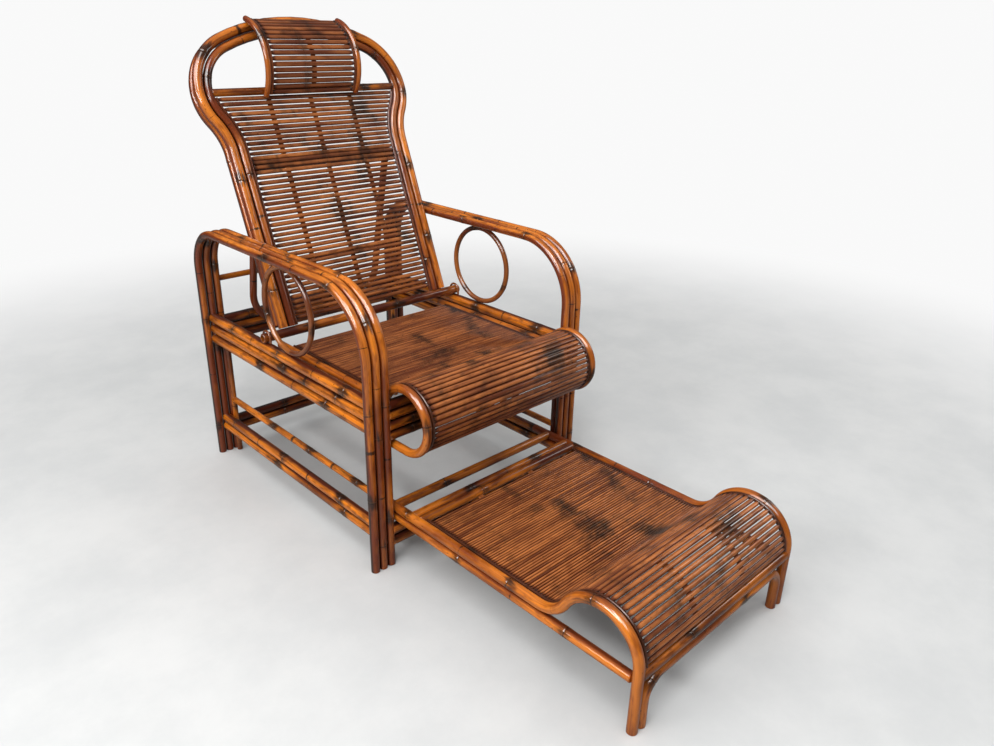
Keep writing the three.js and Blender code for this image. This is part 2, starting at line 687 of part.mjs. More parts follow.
// The thin strip along the inner side of the arch that carries the slats' ends
function archStripGeometry(sign, top) {
  const distance = top - AXLE_CLEAR_S;
  const edge = archLine().part(0, distance);
  const outer = edge.offset(ARCH_STRIP_INSET).stations();
  const inner = edge.offset(ARCH_STRIP_INSET + STRIP_WIDTH).stations().reverse();
  const outline = [...outer, ...inner].map((place) => new THREE.Vector2(sign * place.p, place.q));
  if (sign > 0) outline.reverse();
  const geometry = new THREE.ExtrudeGeometry(new THREE.Shape(outline), {
    depth: STRIP_THICKNESS,
    bevelEnabled: false,
  });
  return geometry.translate(0, 0, -STRIP_THICKNESS / 2).rotateX(Math.PI / 2);
}

function backPanel() {
  const top = TOP_RAIL_S - TOP_RAIL_POLE / 2 - SEAT_GAP;
  const pieces = [archStripGeometry(1, top), archStripGeometry(-1, top)];
  const length = top - BACK_SLATS_START;
  const pitch = length / BACK_SLATS;
  for (let index = 0; index < BACK_SLATS; index += 1) {
    const s = BACK_SLATS_START + (index + 1 / 2) * pitch;
    const inset = ARCH_STRIP_INSET + STRIP_WIDTH - SLAT_BITE;
    const half = archHalfWidthAt(inset, s);
    const slat = new THREE.BoxGeometry(2 * half, SLAT_THICKNESS, pitch - BACK_SLAT_GAP);
    pieces.push(slat.translate(0, 0, s));
  }
  const depth = SLAT_THICKNESS / 2 + BACK_BATTEN_THICKNESS / 2 - BATTEN_BITE;
  for (const x of [-BACK_BATTEN_X, 0, BACK_BATTEN_X]) {
    const batten = new THREE.BoxGeometry(BACK_BATTEN_WIDTH, BACK_BATTEN_THICKNESS, length);
    pieces.push(batten.translate(x, depth, BACK_SLATS_START + length / 2));
  }
  return joined(pieces);
}

// Headrest line from the top rail up to the arch, bulging forward, in a side view of the back.
// Each end leans off the pole that it rests on, so its start is turned round that pole as well.
function headrestLine() {
  const archTop = archTopAt(HEADREST_X);
  const rise = archTop - TOP_RAIL_S;
  const lean = 2 * HEADREST_SAGITTA / rise;
  const half = 2 * Math.atan(lean);
  const lowReach = (TOP_RAIL_POLE + HEADREST_POLE) / 2 + SEAT_GAP;
  const highReach = (ARCH_OUTER_POLE + HEADREST_POLE) / 2 + SEAT_GAP;
  const low = { p: -lowReach * Math.cos(half), q: TOP_RAIL_S - lowReach * Math.sin(half) };
  const high = { p: -highReach * Math.cos(half), q: archTop + highReach * Math.sin(half) };
  const chord = Math.hypot(high.p - low.p, high.q - low.q);
  const radius = chord / 2 / Math.sin(half);
  const heading = Math.atan2(high.q - low.q, high.p - low.p) + half;
  return new PlanarLine(low, heading, [{ radius, turn: -2 * half }]);
}

// Height of the outer pole's centre line near the top of the arch
function archTopAt(x) {
  const line = archLine().offset(ARCH_OUTER_POLE / 2);
  const topRadius = line.runs[4].radius;
  const centre = ARCH_TOP - ARCH_OUTER_POLE / 2 - topRadius;
  return centre + Math.sqrt(topRadius ** 2 - x ** 2);
}

function headrest(back) {
  const line = headrestLine();
  for (const [side, sign] of bothSides) {
    const geometry = bentPoleGeometry(line, sideView(sign * HEADREST_X), HEADREST_POLE);
    back.add(named(`headrest_hoop_${side}`, geometry, MATERIALS.pole));
  }
  const stripOuter = HEADREST_X - HEADREST_POLE / 2 - SEAT_GAP;
  const stripInner = stripOuter - STRIP_WIDTH;
  const carried = line.part(HEADREST_SLATS_START, line.length - HEADREST_SLATS_START);
  const pieces = [
    sideStripGeometry(carried, 0, HEADREST_STRIP_THICKNESS, stripInner, stripOuter),
    sideStripGeometry(carried, 0, HEADREST_STRIP_THICKNESS, -stripOuter, -stripInner),
    sideStripGeometry(carried, SLAT_THICKNESS / 2 + BACK_BATTEN_THICKNESS / 2 - BATTEN_BITE,
      BACK_BATTEN_THICKNESS, -BACK_BATTEN_WIDTH / 2, BACK_BATTEN_WIDTH / 2),
    ...sideSlats(carried, 0, HEADREST_SLATS, HEADREST_SLAT_GAP, stripInner + SLAT_BITE),
  ];
  back.add(named('headrest_slats', joined(pieces), MATERIALS.slat));
}

// Prop, drawn in the back's own plane as well, hanging from the middle rail

const backPlace = (depth, s) => ({
  y: AXLE_Y + s * Math.sin(BACK_TILT) + depth * Math.cos(BACK_TILT),
  z: AXLE_Z + s * Math.cos(BACK_TILT) - depth * Math.sin(BACK_TILT),
});

function prop(chair) {
  const hinge = backPlace(ARCH_REAR_DEPTH, MIDDLE_RAIL_S);
  const reach = Math.hypot(PROP_FOOT_Y - hinge.y, hinge.z - PROP_FOOT_Z);
  const eyeInner = MIDDLE_RAIL_POLE / 2 + RUNNING_GAP;
  const eyeOuter = eyeInner + PROP_POLE / 2;
  const legLength = reach - PROP_BEND - eyeInner;
  const line = new PlanarLine({ p: -PROP_X, q: -eyeInner }, -Math.PI / 2, [
    { length: legLength },
    { radius: PROP_BEND, turn: Math.PI / 2 },
    { length: 2 * (PROP_X - PROP_BEND) },
    { radius: PROP_BEND, turn: Math.PI / 2 },
    { length: legLength },
  ]);
  const profile = [[eyeInner, -1], [eyeOuter, -1], [eyeOuter, 1], [eyeInner, 1], [eyeInner, -1]];
  const points = profile.map(([r, end]) => new THREE.Vector2(r, (end * PROP_EYE_WIDTH) / 2));
  const eyes = bothSides.map(([, sign]) => new THREE.LatheGeometry(points, 2 * POLE_SIDES)
    .rotateZ(-Math.PI / 2).translate(sign * PROP_X, 0, 0));
  const mesh = named('back_prop', joined([bentPoleGeometry(line, frontView(0), PROP_POLE), ...eyes]),
    MATERIALS.pole);
  mesh.position.set(0, hinge.y, hinge.z);
  mesh.rotation.x = Math.atan2(PROP_FOOT_Y - hinge.y, hinge.z - PROP_FOOT_Z);
  chair.add(mesh);
}

// Footrest

// From the rear forward: level, up a valley, over the hump and straight down to the floor
function footrestLine() {
  const lift = Math.acos(1 - FOOTREST_HUMP_RISE / (FOOTREST_VALLEY_RADIUS + FOOTREST_HUMP_RADIUS));
  const run = (FOOTREST_VALLEY_RADIUS + FOOTREST_HUMP_RADIUS) * Math.sin(lift);
  const humpY = FOOTREST_FOOT_Y + FOOTREST_HUMP_RADIUS;
  const humpCentreZ = FOOTREST_LINE_Z + FOOTREST_HUMP_RISE - FOOTREST_HUMP_RADIUS;
  return new PlanarLine({ p: FOOTREST_REAR_Y, q: FOOTREST_LINE_Z }, Math.PI, [
    { length: FOOTREST_REAR_Y - humpY - run },
    { radius: FOOTREST_VALLEY_RADIUS, turn: -lift },
    { radius: FOOTREST_HUMP_RADIUS, turn: Math.PI / 2 + lift },
    { length: humpCentreZ },
  ]);
}

function footrestBrace() {
  const x = FOOTREST_X - (FOOTREST_POLE + BRACE_POLE) / 2 - LASH_GAP;
  const barBottom = FOOTREST_FRONT_BAR_Z - FOOTREST_FRONT_BAR_POLE / 2;
  const barZ = barBottom - SEAT_GAP - BRACE_POLE / 2;
  const line = new PlanarLine({ p: -x, q: 0 }, Math.PI / 2, [
    { length: barZ - BRACE_BEND },
    { radius: BRACE_BEND, turn: -Math.PI / 2 },
    { length: 2 * (x - BRACE_BEND) },
    { radius: BRACE_BEND, turn: -Math.PI / 2 },
    { length: barZ - BRACE_BEND },
  ]);
  return bentPoleGeometry(line, frontView(FOOTREST_FOOT_Y), BRACE_POLE);
}

function footrestPanel(line) {
  const stripOuter = FOOTREST_CLEAR_X;
  const stripInner = stripOuter - STRIP_WIDTH;
  const start = FOOTREST_REAR_Y - FOOTREST_STRIP_Y;
  const foot = line.runs[3].length;
  const barTop = FOOTREST_FRONT_BAR_Z + FOOTREST_FRONT_BAR_POLE / 2;
  const barTurn = Math.asin(Math.max(barTop - foot, 0) / FOOTREST_HUMP_RADIUS);
  const spare = FOOTREST_HUMP_RADIUS * barTurn + FOOTREST_SLATS_END_SPARE;
  const carried = line.part(start, line.length - foot - spare);
  const pieces = [
    sideStripGeometry(carried, SLAT_LIFT, STRIP_THICKNESS, stripInner, stripOuter),
    sideStripGeometry(carried, SLAT_LIFT, STRIP_THICKNESS, -stripOuter, -stripInner),
    ...sideSlats(carried.offset(SLAT_LIFT), FOOTREST_SLATS_START, FOOTREST_SLATS, FOOTREST_SLAT_GAP,
      stripInner + SLAT_BITE),
  ];
  const depth = SLAT_LIFT - SLAT_THICKNESS / 2 - FOOTREST_BATTEN_THICKNESS / 2 + BATTEN_BITE;
  for (const x of [-FOOTREST_BATTEN_X, FOOTREST_BATTEN_X]) {
    pieces.push(sideStripGeometry(carried, depth, FOOTREST_BATTEN_THICKNESS,
      x - FOOTREST_BATTEN_WIDTH / 2, x + FOOTREST_BATTEN_WIDTH / 2));
  }
  return joined(pieces);
}

function footrest(chair) {
  const line = footrestLine();
  const railFront = FOOTREST_FOOT_Y + FOOTREST_POLE / 2 + SEAT_GAP;
  for (const [side, sign] of bothSides) {
    const x = sign * FOOTREST_X;
    const pole = bentPoleGeometry(line, sideView(x), FOOTREST_POLE);
    chair.add(named(`footrest_pole_${side}`, pole, MATERIALS.pole));
    const from = new THREE.Vector3(x, railFront, FOOTREST_RAIL_Z);
    const to = new THREE.Vector3(x, FOOTREST_RAIL_REAR_Y, FOOTREST_RAIL_Z);
    const rail = straightPoleGeometry(from, to, FOOTREST_POLE);
    chair.add(named(`footrest_rail_${side}`, rail, MATERIALS.pole));
  }
  const bars = [
    ['footrest_cross_bar_rear', FOOTREST_CROSS_REAR_Y, FOOTREST_LINE_Z, FOOTREST_CROSS_POLE],
    ['footrest_front_bar', FOOTREST_FOOT_Y, FOOTREST_FRONT_BAR_Z, FOOTREST_FRONT_BAR_POLE],
  ];
  for (const [name, y, z, diameter] of bars) {
    chair.add(acrossPole(name, FOOTREST_CLEAR_X, y, z, diameter, MATERIALS.rail));
  }
  const pair = [0, FOOTREST_CROSS_POLE - PAIR_BITE].map((step) => acrossPoleGeometry(
    FOOTREST_CLEAR_X, FOOTREST_CROSS_FRONT_Y - step, FOOTREST_LINE_Z, FOOTREST_CROSS_POLE));
  chair.add(named('footrest_cross_bar_pair', joined(pair), MATERIALS.rail));
  chair.add(named('footrest_brace', footrestBrace(), MATERIALS.pole));
  chair.add(named('footrest_slats', footrestPanel(line), MATERIALS.slat));
}

function backGroup() {
  const back = new THREE.Group();
  archPoles(back);
  axle(back);
  backRails(back);
  back.add(named('back_slats', backPanel(), MATERIALS.slat));
  headrest(back);
  back.position.set(0, AXLE_Y, AXLE_Z);
  back.rotation.x = -BACK_TILT;
  return back;
}

const chair = new THREE.Group();
hoops(chair);
sideRails(chair);
innerPosts(chair);
crossRails(chair);
frontApron(chair);
armRings(chair);
axleStaples(chair);
seat(chair);
chair.add(backGroup());
prop(chair);
footrest(chair);

// The origin is on the floor under the middle of the chair with its footrest out
chair.updateMatrixWorld(true);
const extent = new THREE.Box3().setFromObject(chair, true);
chair.position.y = -(extent.min.y + extent.max.y) / 2;

export default chair;
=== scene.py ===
"""A reclining chair of bent, varnished tortoiseshell bamboo. Metres, front towards -Y."""
import json
import math
import random

import bmesh
import bpy
import numpy as np
from mathutils import Matrix, Vector


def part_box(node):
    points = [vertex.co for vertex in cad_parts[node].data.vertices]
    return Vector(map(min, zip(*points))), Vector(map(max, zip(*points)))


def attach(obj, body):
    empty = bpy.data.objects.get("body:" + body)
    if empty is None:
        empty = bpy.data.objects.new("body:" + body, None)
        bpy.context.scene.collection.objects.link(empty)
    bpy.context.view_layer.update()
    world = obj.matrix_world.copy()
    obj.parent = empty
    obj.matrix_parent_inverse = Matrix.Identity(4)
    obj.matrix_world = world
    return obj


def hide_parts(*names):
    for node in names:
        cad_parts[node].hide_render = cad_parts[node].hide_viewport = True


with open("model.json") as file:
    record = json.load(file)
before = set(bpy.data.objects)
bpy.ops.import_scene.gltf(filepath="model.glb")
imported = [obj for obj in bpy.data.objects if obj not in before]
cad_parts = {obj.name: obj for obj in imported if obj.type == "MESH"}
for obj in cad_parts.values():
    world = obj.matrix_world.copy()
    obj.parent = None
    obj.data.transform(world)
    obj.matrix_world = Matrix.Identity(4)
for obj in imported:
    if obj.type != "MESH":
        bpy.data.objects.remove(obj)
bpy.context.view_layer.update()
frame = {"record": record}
RECORD = frame["record"]
SLOT_OF = {part["node"]: part["material_slot"] for part in RECORD["subparts"]}
BODY_OF = {node: body for body, nodes in RECORD["behaviour"]["bodies"].items() for node in nodes}
SIDES = ("left", "right")
UPPER_LOWER = ("upper", "lower")
TOP_TO_BOTTOM = ("top", "middle", "bottom")

# Photograph and camera
PHOTO_WIDTH = 994
FOCAL_PIXELS = 789.7456
SENSOR_WIDTH_MM = 36.0
CAMERA_AT = (-1.17788, -1.62475, 1.15627)
# Azimuth, pitch and roll
CAMERA_TURN = (math.radians(-44.4701), math.radians(23.6396), math.radians(1.3638))

# Studio light: dim at the horizon, bright overhead, and an even pale backdrop
SKY_HEIGHTS = (0.15, 0.95)
SKY_STRENGTHS = (0.12, 1.0)
BACKDROP = 0.95
# What the varnish mirrors: a dimmer sky and two round soft windows. A window begins at the first
# cosine of the angle from its direction, and from the second one on it is at its brightest.
SKY_MIRRORED = 0.22
WINDOWS = ((-0.42, -0.36, 0.83), (-0.73, 0.05, 0.68))
WINDOW_COSINES = (0.925, 0.965)
WINDOW_STRENGTH = 8.0
# Name, place, target, size and power
LAMPS = (
    ("window", (-2.9, -0.1, 1.9), (0, 0.1, 0.6), (2.2, 0.4), 50),
    ("overhead", (-1.5, -1.2, 3.0), (0, 0, 0.5), (0.4, 2.2), 44),
    ("fill", (2.6, -1.4, 2.0), (0, 0, 0.5), (0.4, 1.6), 12),
)

# The floor: it lights the chair less than the camera sees, and far out it fades to the backdrop
FLOOR_REACH = 30.0
FLOOR_DARK, FLOOR_PALE = (0.6, 0.61, 0.61), (0.68, 0.685, 0.68)
FLOOR_BOUNCE = (0.24, 0.24, 0.23)
FLOOR_CLOUD = ((3, 3, 3), 6.0, 0.65)
FLOOR_CLOUD_RAMP = (0.3, 0.7)
FLOOR_ROUGHNESS = 0.6
FLOOR_FADE = (1.3, 3.2)
WHITE = (1, 1, 1)

# Fineness of the meshes
POLE_SIDES = 22
CANE_SIDES = 14
STRAIGHT_STEP = 0.03
BEND_STEP = math.radians(4)
RING_STATIONS = 96
EYE_STATIONS = 32
BATTEN_STATIONS = 12
SAME_STATION = 1e-5
SHARP_ANGLE = math.radians(40)

# Bamboo stems: the swell and the scar at each node, and how far apart the nodes grow
STEM_SLACK = 0.0006
NODE_SWELL_REACH = 0.009
SCAR_DEPTH = 0.0008
SCAR_REACH = 0.0013
SCAR_BELOW = 0.0024
NODE_STATIONS = (
    -0.014, -0.008, -0.0045, -0.0034, -0.0024, -0.0014, -0.0004, 0.001, 0.003, 0.008, 0.014,
)
NODE_SPACING = (0.2, 0.34)
THIN_NODE_SPACING = (0.15, 0.25)
STAPLE_NODE_SPACING = (0.5, 0.6)
END_SHARE = 0.3
NO_NODE = 1.0
END_CHAMFER = 0.0012
STEM_WALL = 0.0042
SEED_STRIDE = 3.7
PATCH_ROUND = 3.0

# Painted shade in the crease where two stems touch, and how far round the stem it reaches
CREASE_SHADE = 1.15
CREASE_SHADE_COSINE = 0.72
# Angles round a stem, from its side direction, at which its neighbours touch it and painted shade
# darkens it
SIDEWAYS = (0.0, math.pi)
UP_DOWN = (math.pi / 2, -math.pi / 2)

# Tone of each kind of piece: below zero more golden, above it darker, and at the highest tones,
# which painted shade adds, burnt
TONE = {
    "side_rail": -0.3, "side_stretcher": -0.15, "thin_stretcher": -0.2, "cross_rail": 0.4,
    "inner_post_front": 0.3, "inner_post_rear": 0.1, "arm_ring": 0.2, "axle_staple": 0.5,
    # edge_strip is dark with painted shade: the dark line between the slats' tips and the side
    # poles
    "seat_pole": 0.1, "seat_slat": 0.05, "seat_batten": 0.5, "edge_strip": 1.2,
    "arch_outer": -0.2, "arch_inner": 0.45, "arch_rear": 0.15, "arch_strip": 0.75,
    "axle": 0.3, "top_rail": 0.2, "middle_rail": 0.4, "back_batten": 0.0,
    "headrest_hoop": 0.45, "headrest_strip": 0.5, "prop": 0.55, "prop_eye": 0.7,
    "footrest_rail": -0.05, "footrest_bar": 0.3, "footrest_brace": 0.15, "footrest_slat": -0.18,
    "footrest_batten": 0.4,
}
# Golden arms, redder front legs and dark rear legs: shares of a hoop's length and tones there
HOOP_TONES = ((0.0, 0.2, 0.3, 0.58, 0.7, 1.0), (0.5, 0.2, -0.25, -0.15, 0.6, 0.75))
HOOP_EXTRA_TONES = {"outer": -0.1, "middle": 0.04, "inner": 0.0}
# The right pole of the footrest is dark as far as its hump, partly its own darker colour and
# partly painted shade
FOOTREST_POLE_TONES = {
    "left": ((0.0, 0.5, 0.85, 1.0), (0.1, -0.05, 0.0, 0.45)),
    "right": ((0.0, 0.5, 0.7, 1.0), (0.6, 0.45, 0.0, 0.4)),
}

# Noise in the bamboo: scale round and along the stem, detail, roughness and offset
FIBRE = ((620, 620, 7), 3.0, 0.7)
STREAK = ((170, 170, 3.2), 4.0, 0.6, (3, 1, 5))
SLOW = ((14, 14, 4.5), 3.0, 0.5, (1, 8, 6))
MOTTLE = ((85, 85, 26), 2.0, 0.5, (2, 6, 4))
CLOUD = ((17, 17, 11), 4.0, 0.6, (9, 4, 2))
RAGGED = ((260, 260, 18), 3.0, 0.65, (4, 4, 7))
WAVES = ((30, 30, 22), 2.0, 0.4, (5, 5, 5))
SPECK_SCALE = (95, 95, 42)
# What each makes of the colour: the noise or the distance from and to, and the share there
SLOW_RAMP = (0.36, 0.72)
STREAK_RAMP = (0.44, 0.7, 0.0, 0.6)
FIBRE_RAMP = (0.42, 0.72, 0.0, 0.22)
MOTTLE_RAMP = (0.5, 0.7, 0.0, 0.6)
NODE_BURN_REACH = 0.04
RAGGED_SHARE = 0.24
BURN_RAMP = (0.7, 0.93, 0.0, 0.92)
SPECK_RAMP = (0.05, 0.13, 0.7, 0.0)
CREST_RAMP = (0.0004, 0.0018, 0.12, 0.0)
SCAR_FROM, SCAR_TO = 0.0004, 0.0034
SCAR_RAGGED_RAMP = (0.35, 0.6, 0.25, 1.0)
SOOT_AND_SHADE_RAMP = (0.8, 1.5, 0.0, 0.9)
GLOSS_RAMP = (0.3, 0.7)
GLOSS_LESS, GLOSS_MORE = 0.06, 0.1
FIBRE_HEIGHT = 0.12
FIBRE_BUMP = 0.12
BUMP_DISTANCE = 0.0012
VARNISH = {"Specular IOR Level": 0.2, "Coat Roughness": 0.07, "IOR": 1.45}

# Fits between pieces, as in the model's source
LASH_GAP = 0.0004
SEAT_GAP = 0.0003
RUNNING_GAP = 0.001
RAIL_TENON = 0.007
PAIR_RATIO = 1.5

# Hoops and legs
HOOP_POLE = 0.0216
LEG_Y = 0.3775
FRONT_BEND = 0.155
REAR_BEND = 0.105

# Rings and staples of cane
RING_CANE = 0.015
STAPLE_CANE = 0.007

# Seat
SEAT_POLE = 0.021
SEAT_ROLL_RADIUS = 0.073
SEAT_ROLL_Y = -0.4195
SEAT_ROLL_RISE = 0.051
SEAT_VALLEY_RADIUS = 0.04
SEAT_RETURN = 0.062
SEAT_LINE_Z = 0.4045
SEAT_REAR_Y = 0.095
SEAT_SLATS_START = 0.042
SEAT_SLATS_END_SPARE = 0.074
SEAT_BATTEN_WIDTH = 0.022

# Slats and the strips that carry them
SLAT_THICKNESS = 0.0055
SLAT_LIFT = 0.0035
STRIP_WIDTH = 0.0063
STRIP_THICKNESS = 0.008
SLAT_BITE = 0.0032
SLAT_STATIONS = 11
SLAT_NODE_STATIONS = (-0.005, -0.0024, 0.0, 0.005)
SLAT_NODE_SWELL = 0.035
SLAT_NODE_REACH = 0.006
SLAT_TIP = 0.013
SLAT_TIP_STATION = 0.4
SLAT_TIP_WIDTH = 0.45
SLAT_TIP_DEPTH = 0.6
# Painted shade at the slats' tips and down their sides, where the gaps between slats lie in shade
SLAT_TIP_SHADE = 1.5
SLAT_SIDE_SHADE = 1.5
SLAT_WANDER = 0.00035
NODE_JUMP_CHANCE = 0.12
NODE_JUMP = (0.02, 0.05)
PATCH_ALONG_SLAT = 0.55
PATCH_ACROSS_SLATS = 0.36
PATCH_DRIFT = 0.3
PATCH_JITTER = 0.005
# Panels: pitch of the fine slats on the flat and of the broad ones round the bend, how much of it
# a slat fills, and where the nodes of the first slat lie
SEAT_PANEL = {"fine": 0.0056, "broad": 0.0126, "fine_share": 0.72, "broad_share": 0.88,
              "node_lines": (-0.05, 0.17)}
FOOTREST_PANEL = {"fine": 0.0069, "broad": 0.013, "fine_share": 0.75, "broad_share": 0.82,
                  "node_lines": (-0.03, 0.15)}
BROAD_FROM = 0.75
PANEL_NODE_WANDER = 0.007
PANEL_WIDTHS = (0.97, 1.03)
PANEL_TONES = (-0.22, 0.3)
SLAT_PROFILE = (
    (-0.42, 0.0), (-0.5, 0.24), (-0.47, 0.56), (-0.34, 0.86), (-0.12, 0.99),
    (0.12, 0.99), (0.34, 0.86), (0.47, 0.56), (0.5, 0.24), (0.42, 0.0),
)

# Back
BACK_TILT = math.radians(22.3)
AXLE_POLE = 0.025
ARCH_HALF_WIDTH = 0.271
ARCH_SHOULDER = 0.043
ARCH_WAIST_START = 0.455
ARCH_WAIST_LENGTH = 0.145
ARCH_TOP = 0.79
ARCH_SHOULDER_RADIUS = 0.157
ARCH_OUTER_POLE = 0.0255
ARCH_INNER_POLE = 0.022
ARCH_REAR_POLE = 0.024
ARCH_REAR_FOOT = 0.022
TOP_RAIL_POLE = 0.02
TOP_RAIL_S = 0.602
MIDDLE_RAIL_POLE = 0.019
MIDDLE_RAIL_S = 0.42
BACK_SLATS_START = 0.024
BACK_LOWER_SLATS = 30
BACK_BAND_S = 0.432
BACK_UPPER_SLATS = 12
BACK_SLAT_WIDTH = 0.0108
BACK_SLAT_WIDTHS = (0.92, 1.03)
BACK_SLAT_TONES = (-0.2, 0.32)
BACK_NODE_LINES = (-0.15, 0.05, 0.2)
BACK_NODE_WANDER = 0.006
BACK_BATTEN_WIDTH = 0.014
BACK_BATTEN_THICKNESS = 0.005
BACK_BATTEN_X = 0.122

# Headrest
HEADREST_POLE = 0.016
HEADREST_X = 0.134
HEADREST_SAGITTA = 0.044
HEADREST_SLATS = 16
HEADREST_SLATS_START = 0.005
HEADREST_SLAT_SHARE = 0.9
HEADREST_SLAT_TONES = (0.1, 0.5)
HEADREST_NODE_LINES = (-0.03,)
HEADREST_NODE_WANDER = 0.005
HEADREST_BATTEN_LIFT = 0.9 * SLAT_THICKNESS

# Prop
PROP_POLE = 0.021
PROP_X = 0.205
PROP_BEND = 0.1
PROP_FOOT_Z = 0.37
PROP_EYE_WIDTH = 0.014
PROP_EYE_CANE = PROP_POLE / 2
APRON_POLE = 0.0256

# Footrest
FOOTREST_POLE = 0.023
FOOTREST_LINE_Z = 0.1425
FOOTREST_REAR_Y = -0.312
FOOTREST_FOOT_Y = -1.059
FOOTREST_HUMP_RADIUS = 0.0915
FOOTREST_HUMP_RISE = 0.089
FOOTREST_VALLEY_RADIUS = 0.075
FOOTREST_STRIP_Y = -0.466
FOOTREST_SLATS_START = 0.012
FOOTREST_SLATS_END_SPARE = 0.005
FOOTREST_BATTEN_WIDTH = 0.016
FOOTREST_BATTEN_THICKNESS = 0.005
FOOTREST_BATTEN_X = 0.084
FOOTREST_FRONT_BAR_POLE = 0.024
FOOTREST_FRONT_BAR_Z = 0.1285
BRACE_POLE = 0.023
BRACE_BEND = 0.045


def corners(node):
    return [Vector(corner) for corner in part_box(node)]


def node_middle(node):
    low, high = corners(node)
    return (low + high) / 2


# The source's lines are drawn about the middle of the legs, and the part's origin lies ahead of it
HOOP_LOW, HOOP_HIGH = corners("hoop_left_middle")
SHIFT_Y = (HOOP_LOW.y + HOOP_HIGH.y) / 2
ARM_HEIGHT = HOOP_HIGH.z - HOOP_POLE / 2
AXLE_AT = node_middle("back_axle")


class PlanarLine:
    """Straight runs (length, 0) and bends (radius, turn) walked from a start along a heading."""

    def __init__(self, start, heading, runs):
        self.start = start
        self.heading = heading
        self.runs = runs

    def offset(self, distance):
        p, q = self.start
        start = (p + distance * math.sin(self.heading), q - distance * math.cos(self.heading))
        runs = [(size + distance * np.sign(turn), turn) if turn else (size, 0)
                for size, turn in self.runs]
        return PlanarLine(start, self.heading, runs)

    @staticmethod
    def along(place, run, share):
        p, q, heading = place
        size, turn = run
        if not turn:
            return (p + share * size * math.cos(heading), q + share * size * math.sin(heading),
                    heading)
        side = math.copysign(size, turn)
        after = heading + share * turn
        return (p + side * (math.sin(after) - math.sin(heading)),
                q - side * (math.cos(after) - math.cos(heading)), after)

    @staticmethod
    def run_length(run):
        size, turn = run
        return abs(turn) * size if turn else size

    @property
    def length(self):
        return sum(self.run_length(run) for run in self.runs)

    def at(self, distance):
        place = (*self.start, self.heading)
        left = distance
        for run in self.runs:
            length = self.run_length(run)
            if left <= length:
                return self.along(place, run, left / length)
            place = self.along(place, run, 1)
            left -= length
        return place

    def part(self, start, end):
        p, q, heading = self.at(start)
        runs = []
        walked = 0
        for size, turn in self.runs:
            length = self.run_length((size, turn))
            low, high = max(start, walked), min(end, walked + length)
            if high > low:
                share = (high - low) / length
                runs.append((size, turn * share) if turn else (size * share, 0))
            walked += length
        return PlanarLine((p, q), heading, runs)

    def distances(self):
        """Distances at which a smooth mesh needs a station."""
        found = [0.0]
        for size, turn in self.runs:
            length = self.run_length((size, turn))
            steps = math.ceil(abs(turn) / BEND_STEP) if turn else math.ceil(length / STRAIGHT_STEP)
            walked = found[-1]
            found += [walked + length * (step + 1) / steps for step in range(steps)]
        return found


def side_view(x):
    return lambda p, q: Vector((x, p + SHIFT_Y, q))


def back_side_view(x):
    return lambda p, q: Vector((x, p, q))


def front_view(depth):
    return lambda p, q: Vector((p, depth, q))


def u_line(half, foot, heading, leg, bend):
    """A pole that runs up or down at -half, across, and back again at half, in a front view."""
    corner = (bend, -heading)
    return PlanarLine((-half, foot), heading,
                      [(leg, 0), corner, (2 * (half - bend), 0), corner, (leg, 0)])


BACK_PLACE = Matrix.Translation(AXLE_AT) @ Matrix.Rotation(-BACK_TILT, 4, "X")


def stem_nodes(name, length, spacing):
    """Where the nodes of one stem lie along it, the same in each run."""
    rng = random.Random(name)
    places = []
    at = rng.uniform(END_SHARE, 1.0) * spacing[0]
    while at < length - END_SHARE * spacing[0]:
        places.append(at)
        at += rng.uniform(*spacing)
    return places


def node_gap(distance, nodes):
    """Signed distance to the nearest node."""
    if not nodes:
        return NO_NODE
    return min((distance - node for node in nodes), key=abs)


def with_node_marks(marks, nodes, length):
    """The marks in order, with those that each node's swell and scar need."""
    about_nodes = (node + shift for node in nodes for shift in NODE_STATIONS)
    return sorted({*marks, *(mark for mark in about_nodes if 0 < mark < length)})


def stem_radius(radius, gap):
    swell = STEM_SLACK * math.exp(-(gap / NODE_SWELL_REACH) ** 2)
    scar = SCAR_DEPTH * math.exp(-((gap + SCAR_BELOW) / SCAR_REACH) ** 2)
    return radius - STEM_SLACK + swell - scar


class Shell:
    """Vertices, faces and the values that the bamboo material reads."""

    def __init__(self):
        self.verts = []
        self.faces = []
        self.grain = []
        self.patch = []
        self.gap = []
        self.tone = []

    def vertex(self, point, grain, patch, gap, tone):
        """grain runs along the fibres, patch places the burns, gap is the way to the next node."""
        self.verts.append(tuple(point))
        self.grain.append(grain)
        self.patch.append(patch)
        self.gap.append(gap)
        self.tone.append(tone)
        return len(self.verts) - 1

    def ring(self, rows):
        """Joins rows of vertices, each a closed loop, side to side."""
        for one, two in zip(rows, rows[1:]):
            count = len(one)
            for index in range(count):
                after = (index + 1) % count
                self.faces.append((one[index], one[after], two[after], two[index]))

    def cap(self, row, flip):
        self.faces.append(tuple(row) if flip else tuple(reversed(row)))


# Painted shade: how much darker a stem is drawn at an angle round it, near where its neighbours
# touch it
def painted_crease_shade(angle, creases):
    depth = max((math.cos(angle - crease) for crease in creases), default=-1.0)
    return CREASE_SHADE * max(0.0, (depth - CREASE_SHADE_COSINE) / (1 - CREASE_SHADE_COSINE))


